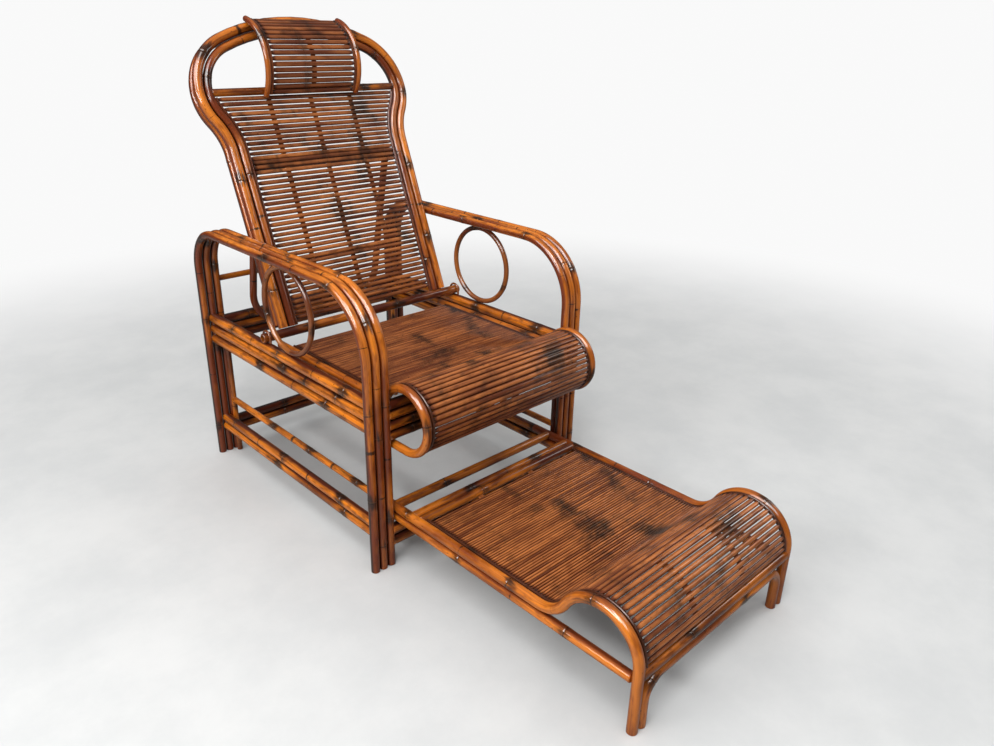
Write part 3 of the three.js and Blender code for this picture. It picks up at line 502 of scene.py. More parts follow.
def add_stem(shell, stations, diameter, nodes, sides, tone, seed, closed=False,
             open_ends=False, creases=()):
    """stations: (distance, point, tangent, side direction) along one bamboo stem.
    tone darkens the stem, by one number or by its value at a share of the length.
    creases are the angles from the side direction at which other stems touch it; painted shade
    darkens the stem there."""
    rows = []
    last = len(stations) - 1
    whole = stations[-1][0]

    def loop(station, radius, slide=0.0):
        distance, point, tangent, across = station
        normal = tangent.cross(across)
        here = tone(distance / whole) if callable(tone) else tone
        row = []
        for index in range(sides):
            angle = 2 * math.pi * index / sides
            direction = across * math.cos(angle) + normal * math.sin(angle)
            place = point + direction * radius + tangent * slide
            grain = (radius * math.cos(angle), radius * math.sin(angle), distance + slide + seed)
            patch = (grain[0] * PATCH_ROUND, grain[1] * PATCH_ROUND, grain[2])
            # Each vertex's tone takes painted shade from the creases where neighbouring stems
            # touch
            row.append(shell.vertex(place, grain, patch, node_gap(distance, nodes),
                                    here + painted_crease_shade(angle, creases)))
        return row

    for index, station in enumerate(stations):
        radius = stem_radius(diameter / 2, node_gap(station[0], nodes))
        if not closed and index in (0, last):
            inward = 1 if index == 0 else -1
            inner = loop(station, radius - END_CHAMFER)
            outer = loop(station, radius, inward * END_CHAMFER)
            rows += [inner, outer] if index == 0 else [outer, inner]
        else:
            rows.append(loop(station, radius))
    if closed:
        rows.append(rows[0])
    shell.ring(rows)
    if closed:
        return
    for index, inward in ((0, 1), (last, -1)):
        row = rows[0] if index == 0 else rows[-1]
        if open_ends:
            bore = diameter / 2 - STEM_WALL
            mouth = loop(stations[index], bore)
            depth = loop(stations[index], bore, inward * diameter)
            shell.ring([mouth, row] if index == 0 else [row, mouth])
            shell.ring([depth, mouth] if index == 0 else [mouth, depth])
            shell.cap(depth, index != 0)
        else:
            shell.cap(row, index != 0)


def line_stations(line, place, nodes):
    """Stations of a flat line, closer together at each node."""
    origin = place(0, 0)
    across = (place(1, 0) - origin).cross(place(0, 1) - origin).normalized()
    stations = []
    for mark in with_node_marks(line.distances(), nodes, line.length):
        if stations and mark - stations[-1][0] < SAME_STATION:
            continue
        p, q, heading = line.at(min(mark, line.length))
        tangent = (place(math.cos(heading), math.sin(heading)) - origin).normalized()
        stations.append((mark, place(p, q), tangent, across))
    return stations


def circle_stations(middle, radius, marks):
    """Stations at marks along a circle round the X direction."""
    stations = []
    for mark in marks:
        angle = mark / radius
        outward = Vector((0, math.sin(angle), -math.cos(angle)))
        tangent = Vector((0, math.cos(angle), math.sin(angle)))
        stations.append((mark, middle + outward * radius, tangent, Vector((1, 0, 0))))
    return stations


def placed(name, data):
    made = bpy.data.objects.new(name, data)
    bpy.context.scene.collection.objects.link(made)
    return made


def stand_for(node, shell, transform=None):
    """The mesh of a shell in the place of a CAD node."""
    mesh = bpy.data.meshes.new(node + "_bamboo")
    verts = shell.verts
    if transform is not None:
        verts = [tuple(transform @ Vector(vert)) for vert in verts]
    mesh.from_pydata(verts, [], shell.faces)
    for name, values in (("grain", shell.grain), ("patch", shell.patch)):
        mesh.attributes.new(name, "FLOAT_VECTOR", "POINT").data.foreach_set(
            "vector", np.array(values, dtype=np.float32).ravel())
    for name, values in (("node_gap", shell.gap), ("tone", shell.tone)):
        mesh.attributes.new(name, "FLOAT", "POINT").data.foreach_set("value", values)
    mesh.validate()
    shape = bmesh.new()
    shape.from_mesh(mesh)
    bmesh.ops.recalc_face_normals(shape, faces=shape.faces)
    shape.to_mesh(mesh)
    shape.free()
    mesh.shade_smooth()
    mesh.set_sharp_from_angle(angle=SHARP_ANGLE)
    mesh.materials.append(MATERIALS[SLOT_OF[node]])
    made = placed(mesh.name, mesh)
    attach(made, BODY_OF[node])
    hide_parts(node)


SEEDS = {}


def seed_of(name):
    return SEEDS.setdefault(name, SEED_STRIDE * (len(SEEDS) + 1))


def tone_along(shares, values, extra=0.0):
    """A tone by its values at shares of a stem's length."""
    return lambda share: extra + float(np.interp(share, shares, values))


def bent_stem(node, line, diameter, tone, place=None, spacing=NODE_SPACING, sides=POLE_SIDES,
              transform=None, creases=()):
    """A stem along a line, in a side view at the node's middle unless a place is given."""
    place = place or side_view(node_middle(node).x)
    nodes = stem_nodes(node, line.length, spacing)
    shell = Shell()
    add_stem(shell, line_stations(line, place, nodes), diameter, nodes, sides, tone, seed_of(node),
             creases=creases)
    stand_for(node, shell, transform)


def unit(axis):
    return Vector([float(index == axis % 3) for index in range(3)])


def straight_stem(node, tone, tenon=RAIL_TENON, spacing=NODE_SPACING, diameter=None,
                  open_ends=False, creases=()):
    """A straight stem in the place of a straight CAD pole, with its ends let into what they meet.
    A node that holds a bound pair of poles gets two stems."""
    low, high = corners(node)
    size = high - low
    narrow, stacked, axis = sorted(range(3), key=lambda index: size[index])
    paired = size[stacked] > PAIR_RATIO * size[narrow]
    width = diameter or size[narrow]
    length = size[axis] + 2 * tenon
    steps = np.linspace(0, length, math.ceil(length / STRAIGHT_STEP)).tolist()
    direction = unit(axis)
    shell = Shell()
    for side in (-1, 1) if paired else (0,):
        name = f"{node}_{side}" if side else node
        middle = (low + high) / 2 + side * (size[stacked] - width) / 2 * unit(stacked)
        nodes = stem_nodes(name, length, spacing)
        stations = [(mark, middle + direction * (mark - length / 2), direction, unit(axis + 1))
                    for mark in with_node_marks(steps, nodes, length)]
        add_stem(shell, stations, width, nodes, POLE_SIDES, tone, seed_of(name),
                 open_ends=open_ends, creases=creases)
    stand_for(node, shell)


# Materials

# Sockets of a colour mix, whose names other kinds of mix share
MIX_FACTOR, MIX_A, MIX_B, MIX_COLOUR = 0, 6, 7, 2


def linked(tree, kind, inputs=None, **settings):
    node = tree.nodes.new(kind)
    for key, value in settings.items():
        setattr(node, key, value)
    for socket, value in (inputs or {}).items():
        target = node.inputs[socket]
        if isinstance(value, bpy.types.NodeSocket):
            tree.links.new(value, target)
        else:
            target.default_value = (*value, 1) if target.type == "RGBA" else value
    return node


def calc(tree, operation, one, two=None, clamp=False):
    inputs = {0: one}
    if two is not None:
        inputs[1] = two
    return linked(tree, "ShaderNodeMath", inputs, operation=operation, use_clamp=clamp).outputs[0]


def ramp(tree, value, low, high, start=0.0, end=1.0):
    inputs = {"Value": value, "From Min": low, "From Max": high, "To Min": start, "To Max": end}
    return linked(tree, "ShaderNodeMapRange", inputs,
                  interpolation_type="SMOOTHSTEP").outputs["Result"]


def colour_mix(tree, share, one, two):
    inputs = {MIX_FACTOR: share, MIX_A: one, MIX_B: two}
    return linked(tree, "ShaderNodeMix", inputs, data_type="RGBA").outputs[MIX_COLOUR]


def noise(tree, vector, scale, detail, roughness, offset=(0, 0, 0)):
    mapping = linked(tree, "ShaderNodeMapping",
                     {"Vector": vector, "Scale": scale, "Location": offset}).outputs[0]
    inputs = {"Vector": mapping, "Scale": 1.0, "Detail": detail, "Roughness": roughness}
    return linked(tree, "ShaderNodeTexNoise", inputs).outputs["Fac"]


def attribute(tree, name, output):
    return linked(tree, "ShaderNodeAttribute", attribute_name=name).outputs[output]


def bamboo(name, amber, deep, burnt, pale, burn, roughness=0.38, coat=1.0, scar_dark=0.8,
           node_burn=0.27):
    """Varnished bamboo: long fibres, slow clouds of colour, burns about the nodes."""
    material = bpy.data.materials.new(name)
    material.use_nodes = True
    tree = material.node_tree
    tree.nodes.clear()
    grain = attribute(tree, "grain", "Vector")
    gap = attribute(tree, "node_gap", "Fac")
    tone = attribute(tree, "tone", "Fac")
    from_node = calc(tree, "ABSOLUTE", gap)
    fibre = noise(tree, grain, *FIBRE)
    streak = noise(tree, grain, *STREAK)
    slow = ramp(tree, noise(tree, grain, *SLOW), *SLOW_RAMP)
    mottle = noise(tree, grain, *MOTTLE)
    cloud = noise(tree, attribute(tree, "patch", "Vector"), *CLOUD)
    ragged = noise(tree, grain, *RAGGED)
    near = ramp(tree, from_node, 0.0, NODE_BURN_REACH, node_burn, 0.0)
    heat = calc(tree, "ADD", calc(tree, "ADD", cloud, near),
                calc(tree, "MULTIPLY", ragged, RAGGED_SHARE))
    places = linked(tree, "ShaderNodeMapping", {"Vector": grain, "Scale": SPECK_SCALE}).outputs[0]
    specks = linked(tree, "ShaderNodeTexVoronoi", {"Vector": places, "Scale": 1.0})
    scar_gap = calc(tree, "ABSOLUTE", calc(tree, "ADD", gap, SCAR_BELOW))
    scar = calc(tree, "MULTIPLY", ramp(tree, scar_gap, SCAR_FROM, SCAR_TO, scar_dark, 0.0),
                ramp(tree, ragged, *SCAR_RAGGED_RAMP))
    colour = colour_mix(tree, calc(tree, "ADD", slow, tone, clamp=True), amber, deep)
    # Each layer lies over the ones before it
    for share, layer in ((ramp(tree, streak, *STREAK_RAMP), deep),
                         (ramp(tree, fibre, *FIBRE_RAMP), burnt),
                         (ramp(tree, mottle, *MOTTLE_RAMP), deep),
                         (ramp(tree, calc(tree, "ADD", heat, burn), *BURN_RAMP), burnt),
                         (ramp(tree, specks.outputs["Distance"], *SPECK_RAMP), burnt),
                         (ramp(tree, from_node, *CREST_RAMP), pale),
                         (scar, burnt),
                         # The highest tones turn burnt: painted shade in creases, between slats
                         # and at their tips, and the darkest pieces
                         (ramp(tree, tone, *SOOT_AND_SHADE_RAMP), burnt)):
        colour = colour_mix(tree, share, colour, layer)
    gloss = ramp(tree, streak, *GLOSS_RAMP, roughness - GLOSS_LESS, roughness + GLOSS_MORE)
    height = calc(tree, "ADD", calc(tree, "MULTIPLY", fibre, FIBRE_HEIGHT),
                  noise(tree, grain, *WAVES))
    bump = linked(tree, "ShaderNodeBump",
                  {"Height": height, "Strength": FIBRE_BUMP, "Distance": BUMP_DISTANCE})
    shader = linked(tree, "ShaderNodeBsdfPrincipled", {
        "Base Color": colour, "Roughness": gloss, "Normal": bump.outputs[0], "Coat Weight": coat,
        **VARNISH})
    linked(tree, "ShaderNodeOutputMaterial", {"Surface": shader.outputs[0]})
    return material


def floor_material():
    material = bpy.data.materials.new("pale_floor")
    material.use_nodes = True
    tree = material.node_tree
    shader = tree.nodes["Principled BSDF"]
    place = linked(tree, "ShaderNodeTexCoord").outputs["Object"]
    cloud = noise(tree, place, *FLOOR_CLOUD)
    colour = colour_mix(tree, ramp(tree, cloud, *FLOOR_CLOUD_RAMP), FLOOR_DARK, FLOOR_PALE)
    seen = linked(tree, "ShaderNodeLightPath").outputs["Is Camera Ray"]
    colour = colour_mix(tree, seen, FLOOR_BOUNCE, colour)
    tree.links.new(colour, shader.inputs["Base Color"])
    shader.inputs["Roughness"].default_value = FLOOR_ROUGHNESS
    away = linked(tree, "ShaderNodeVectorMath", {0: place}, operation="LENGTH").outputs["Value"]
    share = calc(tree, "MULTIPLY", seen, ramp(tree, away, *FLOOR_FADE))
    far = linked(tree, "ShaderNodeEmission", {"Color": WHITE, "Strength": BACKDROP})
    mixed = linked(tree, "ShaderNodeMixShader",
                   {0: share, 1: shader.outputs[0], 2: far.outputs[0]})
    tree.links.new(mixed.outputs[0], tree.nodes["Material Output"].inputs["Surface"])
    return material


# Amber, deep, burnt and pale colour of each material
MATERIALS = {
    "bamboo_pole": bamboo("varnished_bamboo_pole", (0.78, 0.225, 0.02), (0.18, 0.031, 0.005),
                          (0.015, 0.005, 0.002), (0.5, 0.2, 0.05), burn=-0.02),
    "bamboo_rail": bamboo("varnished_bamboo_rail", (0.82, 0.23, 0.014), (0.08, 0.013, 0.004),
                          (0.011, 0.004, 0.002), (0.42, 0.16, 0.05), burn=0.015),
    "bamboo_slat": bamboo("varnished_bamboo_slat", (0.54, 0.175, 0.045), (0.13, 0.03, 0.009),
                          (0.012, 0.006, 0.003), (0.3, 0.14, 0.06), burn=0.09, roughness=0.42,
                          coat=0.7, scar_dark=0.25, node_burn=0.05),
    "cane": bamboo("varnished_cane", (0.44, 0.135, 0.02), (0.12, 0.025, 0.007),
                   (0.016, 0.006, 0.003), (0.3, 0.13, 0.05), burn=-0.02),
}


# Frame

def hoops():
    line = PlanarLine((-LEG_Y, 0.0), math.pi / 2, [
        (ARM_HEIGHT - FRONT_BEND, 0), (FRONT_BEND, -math.pi / 2),
        (2 * LEG_Y - FRONT_BEND - REAR_BEND, 0),
        (REAR_BEND, -math.pi / 2), (ARM_HEIGHT - REAR_BEND, 0)])
    for side in SIDES:
        for place, extra in HOOP_EXTRA_TONES.items():
            bent_stem(f"hoop_{side}_{place}", line, HOOP_POLE, tone_along(*HOOP_TONES, extra),
                      creases=SIDEWAYS)


def frame_rails():
    for side in SIDES:
        for height in TOP_TO_BOTTOM:
            straight_stem(f"side_rail_{side}_{height}", TONE["side_rail"], creases=SIDEWAYS)
        for height in UPPER_LOWER:
            straight_stem(f"side_stretcher_{side}_{height}", TONE["side_stretcher"],
                          creases=SIDEWAYS)
        straight_stem(f"thin_stretcher_{side}", TONE["thin_stretcher"], spacing=THIN_NODE_SPACING)
        for end in ("front", "rear"):
            straight_stem(f"inner_post_{end}_{side}", TONE[f"inner_post_{end}"], tenon=0.0,
                          spacing=THIN_NODE_SPACING)
    for stack, heights in (("front_stretcher", UPPER_LOWER), ("rear_stretcher", UPPER_LOWER),
                           ("front_apron_pair", UPPER_LOWER), ("rear_apron", TOP_TO_BOTTOM)):
        for height in heights:
            straight_stem(f"{stack}_{height}", TONE["cross_rail"], creases=UP_DOWN)
    for node in ("rear_upper_rail", "seat_rear_rail"):
        straight_stem(node, TONE["cross_rail"])


def arm_rings():
    for side in SIDES:
        node = f"arm_ring_{side}"
        low, high = corners(node)
        radius = (high.z - low.z - RING_CANE) / 2
        length = 2 * math.pi * radius
        nodes = stem_nodes(node, length, THIN_NODE_SPACING)
        steps = np.linspace(0, length, RING_STATIONS, endpoint=False).tolist()
        stations = circle_stations((low + high) / 2, radius, with_node_marks(steps, nodes, length))
        shell = Shell()
        add_stem(shell, stations, RING_CANE, nodes, CANE_SIDES, TONE["arm_ring"], seed_of(node),
                 closed=True)
        stand_for(node, shell)


def axle_staples():
    radius = AXLE_POLE / 2 + RUNNING_GAP + STAPLE_CANE / 2
    for side in SIDES:
        node = f"axle_staple_{side}"
        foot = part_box(node)[0][2]
        run = AXLE_AT.z - foot
        line = PlanarLine((AXLE_AT.y - SHIFT_Y - radius, foot), math.pi / 2,
                          [(run, 0), (radius, -math.pi), (run, 0)])
        bent_stem(node, line, STAPLE_CANE, TONE["axle_staple"], spacing=STAPLE_NODE_SPACING,
                  sides=CANE_SIDES)


# Slats

def add_slat(shell, centre, width_way, normal, half, width, gaps, tone, along, index, rng):
    """One split slat across the chair, with its round bark side along normal.
    gaps: the places of the split stem's nodes. along: how far on the panel the slat lies."""
    rows = []
    seed = SEED_STRIDE * index
    shift = rng.uniform(-1, 1) * PATCH_JITTER
    bow = rng.uniform(-1, 1) * SLAT_WANDER
    inner = np.linspace(-half + SLAT_TIP, half - SLAT_TIP, SLAT_STATIONS)
    tip = half - SLAT_TIP_STATION * SLAT_TIP
    about_nodes = (gap + station for gap in gaps for station in SLAT_NODE_STATIONS)
    places = [-half, -tip, *inner, tip, half]
    places = sorted(places + [place for place in about_nodes if abs(place) < half - SLAT_TIP])
    for x in places:
        near_end = min(1.0, (half - abs(x)) / SLAT_TIP)
        share = SLAT_TIP_WIDTH + (1 - SLAT_TIP_WIDTH) * math.sqrt(near_end)
        gap = min((x - place for place in gaps), key=abs)
        swell = 1 + SLAT_NODE_SWELL * math.exp(-(gap / SLAT_NODE_REACH) ** 2)
        drift = bow * math.cos(math.pi * x / (2 * half))
        depth = (SLAT_TIP_DEPTH + (1 - SLAT_TIP_DEPTH) * share) * SLAT_THICKNESS
        row = []
        for across, up in SLAT_PROFILE:
            u = across * width * share * swell + drift
            v = (up - 0.5) * depth * swell
            point = centre + width_way * u + normal * v
            point.x += x
            patch = (PATCH_ALONG_SLAT * (x + shift + PATCH_DRIFT * along),
                     PATCH_ACROSS_SLATS * along, 0.0)
            # Painted shade: darker at the slat's tips and down its sides, for the shade at the
            # panel's edges and in the gaps between slats
            tip_and_side_shade = SLAT_TIP_SHADE * (1 - near_end) + SLAT_SIDE_SHADE * (1 - up)
            row.append(shell.vertex(point, (u, v, x + seed), patch, gap, tone + tip_and_side_shade))
        rows.append(row)
    shell.ring(rows)
    shell.cap(rows[0], False)
    shell.cap(rows[-1], True)


def drifting_nodes(rng, count, lines, wander):
    """The places of the nodes on each slat, which drift from slat to slat."""
    places = [[line] for line in lines]
    for _ in range(count - 1):
        for line in places:
            step = rng.uniform(-wander, wander)
            if rng.random() < NODE_JUMP_CHANCE:
                step += rng.choice((-1, 1)) * rng.uniform(*NODE_JUMP)
            line.append(line[-1] + step)
    return list(zip(*places))


def add_strip(shell, stations, width_way, width, thickness, tone, seed):
    """A flat split strip swept along stations of (distance, point, normal)."""
    rows = []
    for distance, point, normal in stations:
        row = []
        for across, up in SLAT_PROFILE:
            u = across * width
            v = (up - 0.5) * thickness
            grain = (u, v, distance + seed)
            place = point + width_way * u + normal * v
            row.append(shell.vertex(place, grain, grain, NO_NODE, tone))
        rows.append(row)
    shell.ring(rows)
    shell.cap(rows[0], False)
    shell.cap(rows[-1], True)


def side_strip(shell, line, lift, place, width, thickness, tone):
    """A strip that follows a line in a side view."""
    lifted = line.offset(lift)
    stations = []
    for distance in lifted.distances():
        p, q, heading = lifted.at(min(distance, lifted.length))
        normal = Vector((0, math.sin(heading), -math.cos(heading)))
        stations.append((distance, place(p, q), normal))
    add_strip(shell, stations, Vector((1, 0, 0)), width, thickness, tone, SEED_STRIDE)


def middles(start, end, count):
    """The middles of equal parts between start and end."""
    pitch = (end - start) / count
    return [start + (index + 0.5) * pitch for index in range(count)]


def slat_places(lifted, fine, broad, spare):
    """Middles and pitches of the slats: fine ones as far as the second bend, then broad ones."""
    flat = sum(lifted.run_length(run) for run in lifted.runs[:2])
    places = []
    for start, end, pitch in ((spare, flat, fine), (flat, lifted.length, broad)):
        count = round((end - start) / pitch)
        places += [(place, (end - start) / count) for place in middles(start, end, count)]
    return places


def side_panel(node, carried, half, tone, fine, broad, fine_share, broad_share, node_lines,
               spare=0.0):
    """Slats laid over a line in a side view, each with its own grain."""
    rng = random.Random(node)
    lifted = carried.offset(SLAT_LIFT)
    places = slat_places(lifted, fine, broad, spare)
    nodes = drifting_nodes(rng, len(places), node_lines, PANEL_NODE_WANDER)
    shell = Shell()
    for index, (along, pitch) in enumerate(places):
        p, q, heading = lifted.at(along)
        width_way = Vector((0, math.cos(heading), math.sin(heading)))
        normal = Vector((0, math.sin(heading), -math.cos(heading)))
        share = fine_share if pitch < broad * BROAD_FROM else broad_share
        width = pitch * share * rng.uniform(*PANEL_WIDTHS)
        add_slat(shell, side_view(0)(p, q), width_way, normal, half, width, nodes[index],
                 tone + rng.uniform(*PANEL_TONES), along, index, rng)
    return shell


# Painted shade: the dark strips along the panel's edges, between the slats' tips and the poles
def edge_strips(shell, carried, outer):
    for sign in (-1, 1):
        side_strip(shell, carried, SLAT_LIFT, side_view(sign * (outer - STRIP_WIDTH / 2)),
                   STRIP_WIDTH, STRIP_THICKNESS, TONE["edge_strip"])


def rolled_line(start, middle_y, valley, roll, rise, turn, end):
    """A side pole in a side view: level, up through a valley, round a roll and straight on."""
    reach = valley + roll
    lift = math.acos(1 - rise / reach)
    level = start[0] - middle_y - reach * math.sin(lift)
    return PlanarLine(start, math.pi, [(level, 0), (valley, -lift), (roll, turn + lift), (end, 0)])


def seat():
    line = rolled_line((SEAT_REAR_Y, SEAT_LINE_Z), SEAT_ROLL_Y, SEAT_VALLEY_RADIUS,
                       SEAT_ROLL_RADIUS, SEAT_ROLL_RISE, math.pi, SEAT_RETURN)
    for side in SIDES:
        bent_stem(f"seat_side_pole_{side}", line, SEAT_POLE, TONE["seat_pole"])
    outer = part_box("seat_slats")[1][0]
    carried = line.part(SEAT_SLATS_START, line.length - SEAT_SLATS_END_SPARE)
    shell = side_panel("seat_slats", carried, outer - STRIP_WIDTH + SLAT_BITE, TONE["seat_slat"],
                       **SEAT_PANEL)
    edge_strips(shell, carried, outer)
    depth = SEAT_POLE / 2
    side_strip(shell, carried, SLAT_LIFT - (SLAT_THICKNESS + depth) / 2, side_view(0),
               SEAT_BATTEN_WIDTH, depth, TONE["seat_batten"])
    stand_for("seat_slats", shell)


# Back

def arch_line():
    """The outside edge of the arch from foot to foot, in the back's own plane."""
    foot_s = AXLE_POLE / 2 + SEAT_GAP
    waist_turn = 2 * math.atan(ARCH_SHOULDER / ARCH_WAIST_LENGTH)
    waist_radius = ARCH_WAIST_LENGTH / (2 * math.sin(waist_turn))
    half = ARCH_HALF_WIDTH + ARCH_SHOULDER
    rise = ARCH_TOP - ARCH_WAIST_START - ARCH_WAIST_LENGTH
    top_radius = ((half ** 2 + rise ** 2 - 2 * half * ARCH_SHOULDER_RADIUS)
                  / (2 * (rise - ARCH_SHOULDER_RADIUS)))
    top_turn = math.asin((half - ARCH_SHOULDER_RADIUS) / (top_radius - ARCH_SHOULDER_RADIUS))
    foot = (ARCH_WAIST_START - foot_s, 0)
    hollow = (waist_radius, waist_turn)
    swell = (waist_radius, -waist_turn)
    shoulder = (ARCH_SHOULDER_RADIUS, top_turn - math.pi / 2)
    top = (top_radius, -2 * top_turn)
    return PlanarLine((-ARCH_HALF_WIDTH, foot_s), math.pi / 2,
                      [foot, hollow, swell, shoulder, top, shoulder, swell, hollow, foot])


def arch_half_width(inset, height):
    line = arch_line().offset(inset)
    foot, hollow, swell = line.runs[:3]
    start = line.start[1] + foot[0]
    if height <= start:
        return -line.start[0]
    if height <= start + hollow[0] * math.sin(hollow[1]):
        turned = math.asin((height - start) / hollow[0])
        return -line.start[0] + hollow[0] * (1 - math.cos(turned))
    widest = start + (hollow[0] + swell[0]) * math.sin(hollow[1])
    left = math.asin((widest - height) / swell[0])
    full = -line.start[0] + (hollow[0] + swell[0]) * (1 - math.cos(hollow[1]))
    return full - swell[0] * (1 - math.cos(left))


STRIP_INSET = ARCH_OUTER_POLE + LASH_GAP + ARCH_INNER_POLE + SEAT_GAP
REAR_DEPTH = (ARCH_OUTER_POLE + ARCH_REAR_POLE) / 2 + LASH_GAP


def arch_stems():
    edge = arch_line()
    lost = ARCH_REAR_FOOT - edge.start[1]
    rear = edge.part(lost, edge.length - lost)
    inner_inset = ARCH_OUTER_POLE + LASH_GAP + ARCH_INNER_POLE / 2
    for place, line, inset, diameter, depth in (
            ("outer", edge, ARCH_OUTER_POLE / 2, ARCH_OUTER_POLE, 0.0),
            ("inner", edge, inner_inset, ARCH_INNER_POLE, 0.0),
            ("rear", rear, ARCH_OUTER_POLE / 2, ARCH_REAR_POLE - STEM_SLACK, REAR_DEPTH)):
        bent_stem(f"back_arch_{place}", line.offset(inset), diameter, TONE[f"arch_{place}"],
                  front_view(depth), transform=BACK_PLACE, creases=UP_DOWN)


def back_rails():
    straight_stem("back_axle", TONE["axle"], 0.0, diameter=AXLE_POLE, open_ends=True)
    straight_stem("back_top_rail", TONE["top_rail"], diameter=TOP_RAIL_POLE)
    straight_stem("back_middle_rail", TONE["middle_rail"], diameter=MIDDLE_RAIL_POLE)


def back_slats():
    rng = random.Random("back_slats")
    shell = Shell()
    top = TOP_RAIL_S - TOP_RAIL_POLE / 2 - SEAT_GAP
    band_low, band_high = BACK_BAND_S - BACK_SLAT_WIDTH, BACK_BAND_S + BACK_SLAT_WIDTH
    heights = [*middles(BACK_SLATS_START, band_low, BACK_LOWER_SLATS),
               *middles(band_low, band_high, 2), *middles(band_high, top, BACK_UPPER_SLATS)]
    nodes = drifting_nodes(rng, len(heights), BACK_NODE_LINES, BACK_NODE_WANDER)
    for index, height in enumerate(heights):
        half = arch_half_width(STRIP_INSET + STRIP_WIDTH - SLAT_BITE, height)
        in_band = abs(height - BACK_BAND_S) < BACK_SLAT_WIDTH
        width = BACK_SLAT_WIDTH * (1.0 if in_band else rng.uniform(*BACK_SLAT_WIDTHS))
        add_slat(shell, Vector((0, 0, height)), Vector((0, 0, 1)), Vector((0, -1, 0)), half, width,
                 nodes[index], rng.uniform(*BACK_SLAT_TONES), height, index, rng)
    depth = (SLAT_THICKNESS + BACK_BATTEN_THICKNESS) / 2
    for x in (-BACK_BATTEN_X, 0.0, BACK_BATTEN_X):
        heights = np.linspace(BACK_SLATS_START, top - SEAT_GAP, BATTEN_STATIONS).tolist()
        stations = [(s, Vector((x, depth, s)), Vector((0, 1, 0))) for s in heights]
        add_strip(shell, stations, Vector((-1, 0, 0)), BACK_BATTEN_WIDTH, BACK_BATTEN_THICKNESS,
                  TONE["back_batten"], SEED_STRIDE * (x + 1))
    # The thin strips that the slats' tips are let into
    edge = arch_line().part(0, top - AXLE_POLE / 2).offset(STRIP_INSET + STRIP_WIDTH / 2)
    for sign in (-1, 1):
        stations = []
        for distance in edge.distances():
            p, q, heading = edge.at(min(distance, edge.length))
            inward = Vector((sign * math.sin(heading), 0, -math.cos(heading)))
            stations.append((distance, Vector((sign * p, 0, q)), inward))
        add_strip(shell, stations, Vector((0, 1, 0)), STRIP_THICKNESS, STRIP_WIDTH,
                  TONE["arch_strip"], 0.0)
    stand_for("back_slats", shell, BACK_PLACE)


def arch_top(x):
    runs = arch_line().offset(ARCH_OUTER_POLE / 2).runs
    radius = runs[len(runs) // 2][0]
    return ARCH_TOP - ARCH_OUTER_POLE / 2 - radius + math.sqrt(radius ** 2 - x ** 2)


def headrest_line():
    high_s = arch_top(HEADREST_X)
    half = 2 * math.atan(2 * HEADREST_SAGITTA / (high_s - TOP_RAIL_S))
    low_reach = (TOP_RAIL_POLE + HEADREST_POLE) / 2 + SEAT_GAP
    high_reach = (ARCH_OUTER_POLE + HEADREST_POLE) / 2 + SEAT_GAP
    low = (-low_reach * math.cos(half), TOP_RAIL_S - low_reach * math.sin(half))
    high = (-high_reach * math.cos(half), high_s + high_reach * math.sin(half))
    rise, run = high[1] - low[1], high[0] - low[0]
    radius = math.hypot(rise, run) / 2 / math.sin(half)
    return PlanarLine(low, math.atan2(rise, run) + half, [(radius, -2 * half)])


def headrest():
    line = headrest_line()
    for side, sign in zip(SIDES, (-1, 1)):
        bent_stem(f"headrest_hoop_{side}", line, HEADREST_POLE, TONE["headrest_hoop"],
                  back_side_view(sign * HEADREST_X), THIN_NODE_SPACING, transform=BACK_PLACE)
    rng = random.Random("headrest")
    carried = line.part(HEADREST_SLATS_START, line.length - HEADREST_SLATS_START)
    outer = HEADREST_X - HEADREST_POLE / 2 - SEAT_GAP
    pitch = carried.length / HEADREST_SLATS
    nodes = drifting_nodes(rng, HEADREST_SLATS, HEADREST_NODE_LINES, HEADREST_NODE_WANDER)
    shell = Shell()
    for index in range(HEADREST_SLATS):
        p, q, heading = carried.at((index + 0.5) * pitch)
        width_way = Vector((0, math.cos(heading), math.sin(heading)))
        normal = Vector((0, -math.sin(heading), math.cos(heading)))
        add_slat(shell, Vector((0, p, q)), width_way, normal, outer - STRIP_WIDTH + SLAT_BITE,
                 HEADREST_SLAT_SHARE * pitch, nodes[index], rng.uniform(*HEADREST_SLAT_TONES),
                 index * pitch, index, rng)
    for x, lift, width in ((0.0, HEADREST_BATTEN_LIFT, BACK_BATTEN_WIDTH),
                           (-outer + STRIP_WIDTH / 2, 0.0, STRIP_WIDTH),
                           (outer - STRIP_WIDTH / 2, 0.0, STRIP_WIDTH)):
        side_strip(shell, carried, lift, back_side_view(x), width, BACK_BATTEN_THICKNESS,
                   TONE["headrest_strip"])
    stand_for("headrest_slats", shell, BACK_PLACE)


# Prop

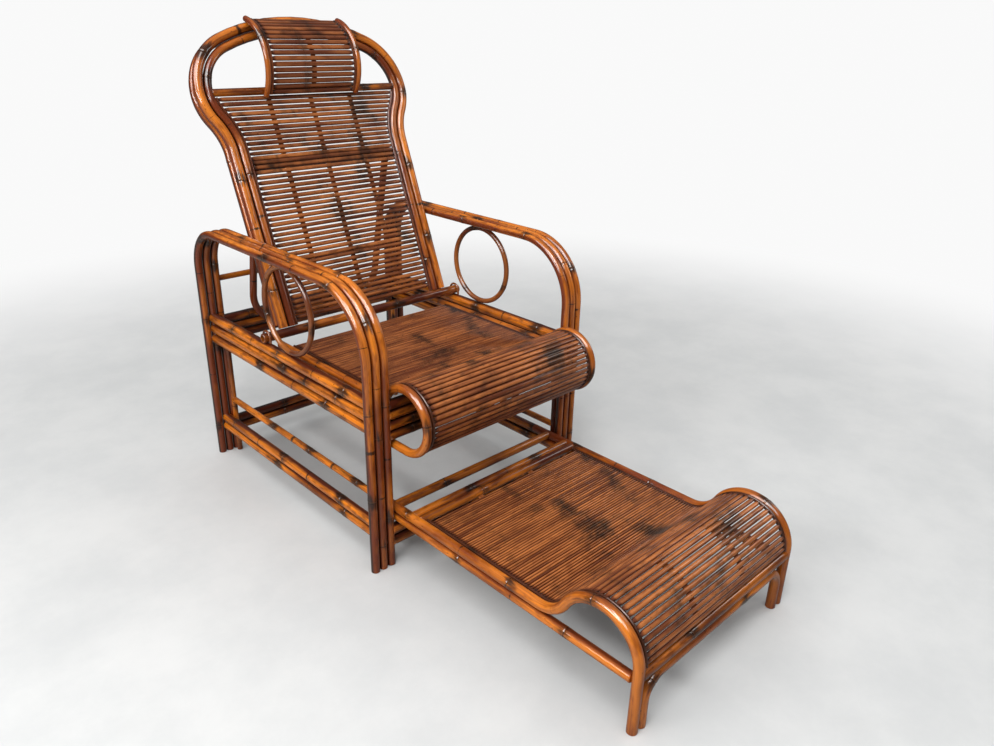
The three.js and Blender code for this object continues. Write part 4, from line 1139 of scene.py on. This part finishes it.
def prop():
    """A U-shaped pole and the two pairs of cane eyes by which it hangs on the middle rail."""
    hinge = BACK_PLACE @ Vector((0, REAR_DEPTH, MIDDLE_RAIL_S))
    foot_y = LEG_Y - APRON_POLE / 2 - SEAT_GAP - PROP_POLE / 2 + SHIFT_Y
    out, down = foot_y - hinge.y, hinge.z - PROP_FOOT_Z
    eye_inner = MIDDLE_RAIL_POLE / 2 + RUNNING_GAP
    leg = math.hypot(out, down) - PROP_BEND - eye_inner
    line = u_line(PROP_X, -eye_inner, -math.pi / 2, leg, PROP_BEND)
    nodes = stem_nodes("back_prop", line.length, NODE_SPACING)
    shell = Shell()
    add_stem(shell, line_stations(line, front_view(0.0), nodes), PROP_POLE, nodes, POLE_SIDES,
             TONE["prop"], seed_of("back_prop"))
    radius = eye_inner + PROP_EYE_CANE / 2
    marks = np.linspace(0, 2 * math.pi * radius, EYE_STATIONS, endpoint=False).tolist()
    for sign in (-1, 1):
        for shift in (-0.5, 0.5):
            middle = Vector((sign * PROP_X + shift * PROP_EYE_WIDTH / 2, 0, 0))
            add_stem(shell, circle_stations(middle, radius, marks), PROP_EYE_CANE, [],
                     CANE_SIDES, TONE["prop_eye"], middle.x, closed=True)
    swing = Matrix.Rotation(math.atan2(out, down), 4, "X")
    stand_for("back_prop", shell, Matrix.Translation(hinge) @ swing)


# Footrest

def footrest():
    hump_y = FOOTREST_FOOT_Y + FOOTREST_HUMP_RADIUS
    foot = FOOTREST_LINE_Z + FOOTREST_HUMP_RISE - FOOTREST_HUMP_RADIUS
    line = rolled_line((FOOTREST_REAR_Y, FOOTREST_LINE_Z), hump_y, FOOTREST_VALLEY_RADIUS,
                       FOOTREST_HUMP_RADIUS, FOOTREST_HUMP_RISE, math.pi / 2, foot)
    for side in SIDES:
        bent_stem(f"footrest_pole_{side}", line, FOOTREST_POLE,
                  tone_along(*FOOTREST_POLE_TONES[side]))
        straight_stem(f"footrest_rail_{side}", TONE["footrest_rail"], 0.0, creases=SIDEWAYS[:1])
    for node in ("footrest_cross_bar_rear", "footrest_cross_bar_pair", "footrest_front_bar"):
        straight_stem(node, TONE["footrest_bar"])
    low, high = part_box("footrest_brace")
    bar_z = FOOTREST_FRONT_BAR_Z - FOOTREST_FRONT_BAR_POLE / 2 - SEAT_GAP - BRACE_POLE / 2
    brace = u_line((high[0] - low[0] - BRACE_POLE) / 2, 0.0, math.pi / 2, bar_z - BRACE_BEND,
                   BRACE_BEND)
    bent_stem("footrest_brace", brace, BRACE_POLE, TONE["footrest_brace"],
              front_view(FOOTREST_FOOT_Y + SHIFT_Y))
    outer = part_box("footrest_slats")[1][0]
    carried = line.part(FOOTREST_REAR_Y - FOOTREST_STRIP_Y,
                        line.length - foot - FOOTREST_SLATS_END_SPARE)
    shell = side_panel("footrest_slats", carried, outer - STRIP_WIDTH + SLAT_BITE,
                       TONE["footrest_slat"], **FOOTREST_PANEL, spare=FOOTREST_SLATS_START)
    edge_strips(shell, carried, outer)
    for sign in (-1, 1):
        side_strip(shell, carried, SLAT_LIFT - (SLAT_THICKNESS + FOOTREST_BATTEN_THICKNESS) / 2,
                   side_view(sign * FOOTREST_BATTEN_X), FOOTREST_BATTEN_WIDTH,
                   FOOTREST_BATTEN_THICKNESS, TONE["footrest_batten"])
    stand_for("footrest_slats", shell)


# Stage

def camera():
    azimuth, pitch, roll = CAMERA_TURN
    forward = Vector((-math.sin(azimuth) * math.cos(pitch), math.cos(azimuth) * math.cos(pitch),
                      -math.sin(pitch)))
    level = Vector((math.cos(azimuth), math.sin(azimuth), 0))
    above = level.cross(forward)
    right = math.cos(roll) * level + math.sin(roll) * above
    up = -math.sin(roll) * level + math.cos(roll) * above
    data = bpy.data.cameras.new("photo_camera")
    data.sensor_width = SENSOR_WIDTH_MM
    data.sensor_fit = "HORIZONTAL"
    data.lens = SENSOR_WIDTH_MM * FOCAL_PIXELS / PHOTO_WIDTH
    made = placed("photo_camera", data)
    turn = Matrix((right, up, -forward)).transposed().to_4x4()
    made.matrix_world = Matrix.Translation(Vector(CAMERA_AT) + Vector((0, SHIFT_Y, 0))) @ turn
    bpy.context.scene.camera = made


def lamps():
    for name, place, target, size, power in LAMPS:
        data = bpy.data.lights.new(name, "AREA")
        data.shape = "RECTANGLE"
        data.size, data.size_y = size
        data.energy = power
        made = placed(name, data)
        made.location = place
        toward = Vector(target) - Vector(place)
        made.rotation_euler = toward.to_track_quat("-Z", "Y").to_euler()


def either(tree, share, one, two):
    """One value where share is 1, and the other where it is 0."""
    rest = calc(tree, "SUBTRACT", 1.0, share)
    return calc(tree, "ADD", calc(tree, "MULTIPLY", share, one),
                calc(tree, "MULTIPLY", two, rest))


def studio_world():
    world = bpy.data.worlds.new("studio")
    world.use_nodes = True
    tree = world.node_tree
    tree.nodes.clear()
    way = linked(tree, "ShaderNodeTexCoord").outputs["Generated"]
    height = linked(tree, "ShaderNodeSeparateXYZ", {0: way}).outputs[2]
    sky = ramp(tree, height, *SKY_HEIGHTS, *SKY_STRENGTHS)
    mirrored = calc(tree, "MULTIPLY", sky, SKY_MIRRORED)
    for window in WINDOWS:
        cosine = linked(tree, "ShaderNodeVectorMath", {0: way, 1: Vector(window).normalized()},
                        operation="DOT_PRODUCT").outputs["Value"]
        mirrored = calc(tree, "ADD", mirrored,
                        ramp(tree, cosine, *WINDOW_COSINES, 0.0, WINDOW_STRENGTH))
    path = linked(tree, "ShaderNodeLightPath").outputs
    strength = either(tree, path["Is Camera Ray"], BACKDROP,
                      either(tree, path["Is Glossy Ray"], mirrored, sky))
    shade = linked(tree, "ShaderNodeBackground", {"Color": WHITE, "Strength": strength})
    linked(tree, "ShaderNodeOutputWorld", {"Surface": shade.outputs[0]})
    return world


def stage():
    mesh = bpy.data.meshes.new("floor")
    low, high = -FLOOR_REACH, FLOOR_REACH
    mesh.from_pydata([(low, low, 0), (high, low, 0), (high, high, 0), (low, high, 0)], [],
                     [(0, 1, 2, 3)])
    mesh.materials.append(floor_material())
    floor = placed("floor", mesh)
    bpy.context.scene.world = studio_world()
    bpy.context.scene.view_settings.view_transform = "Standard"


hoops()
frame_rails()
arm_rings()
axle_staples()
seat()
arch_stems()
back_rails()
back_slats()
headrest()
prop()
footrest()
camera()
lamps()
stage()
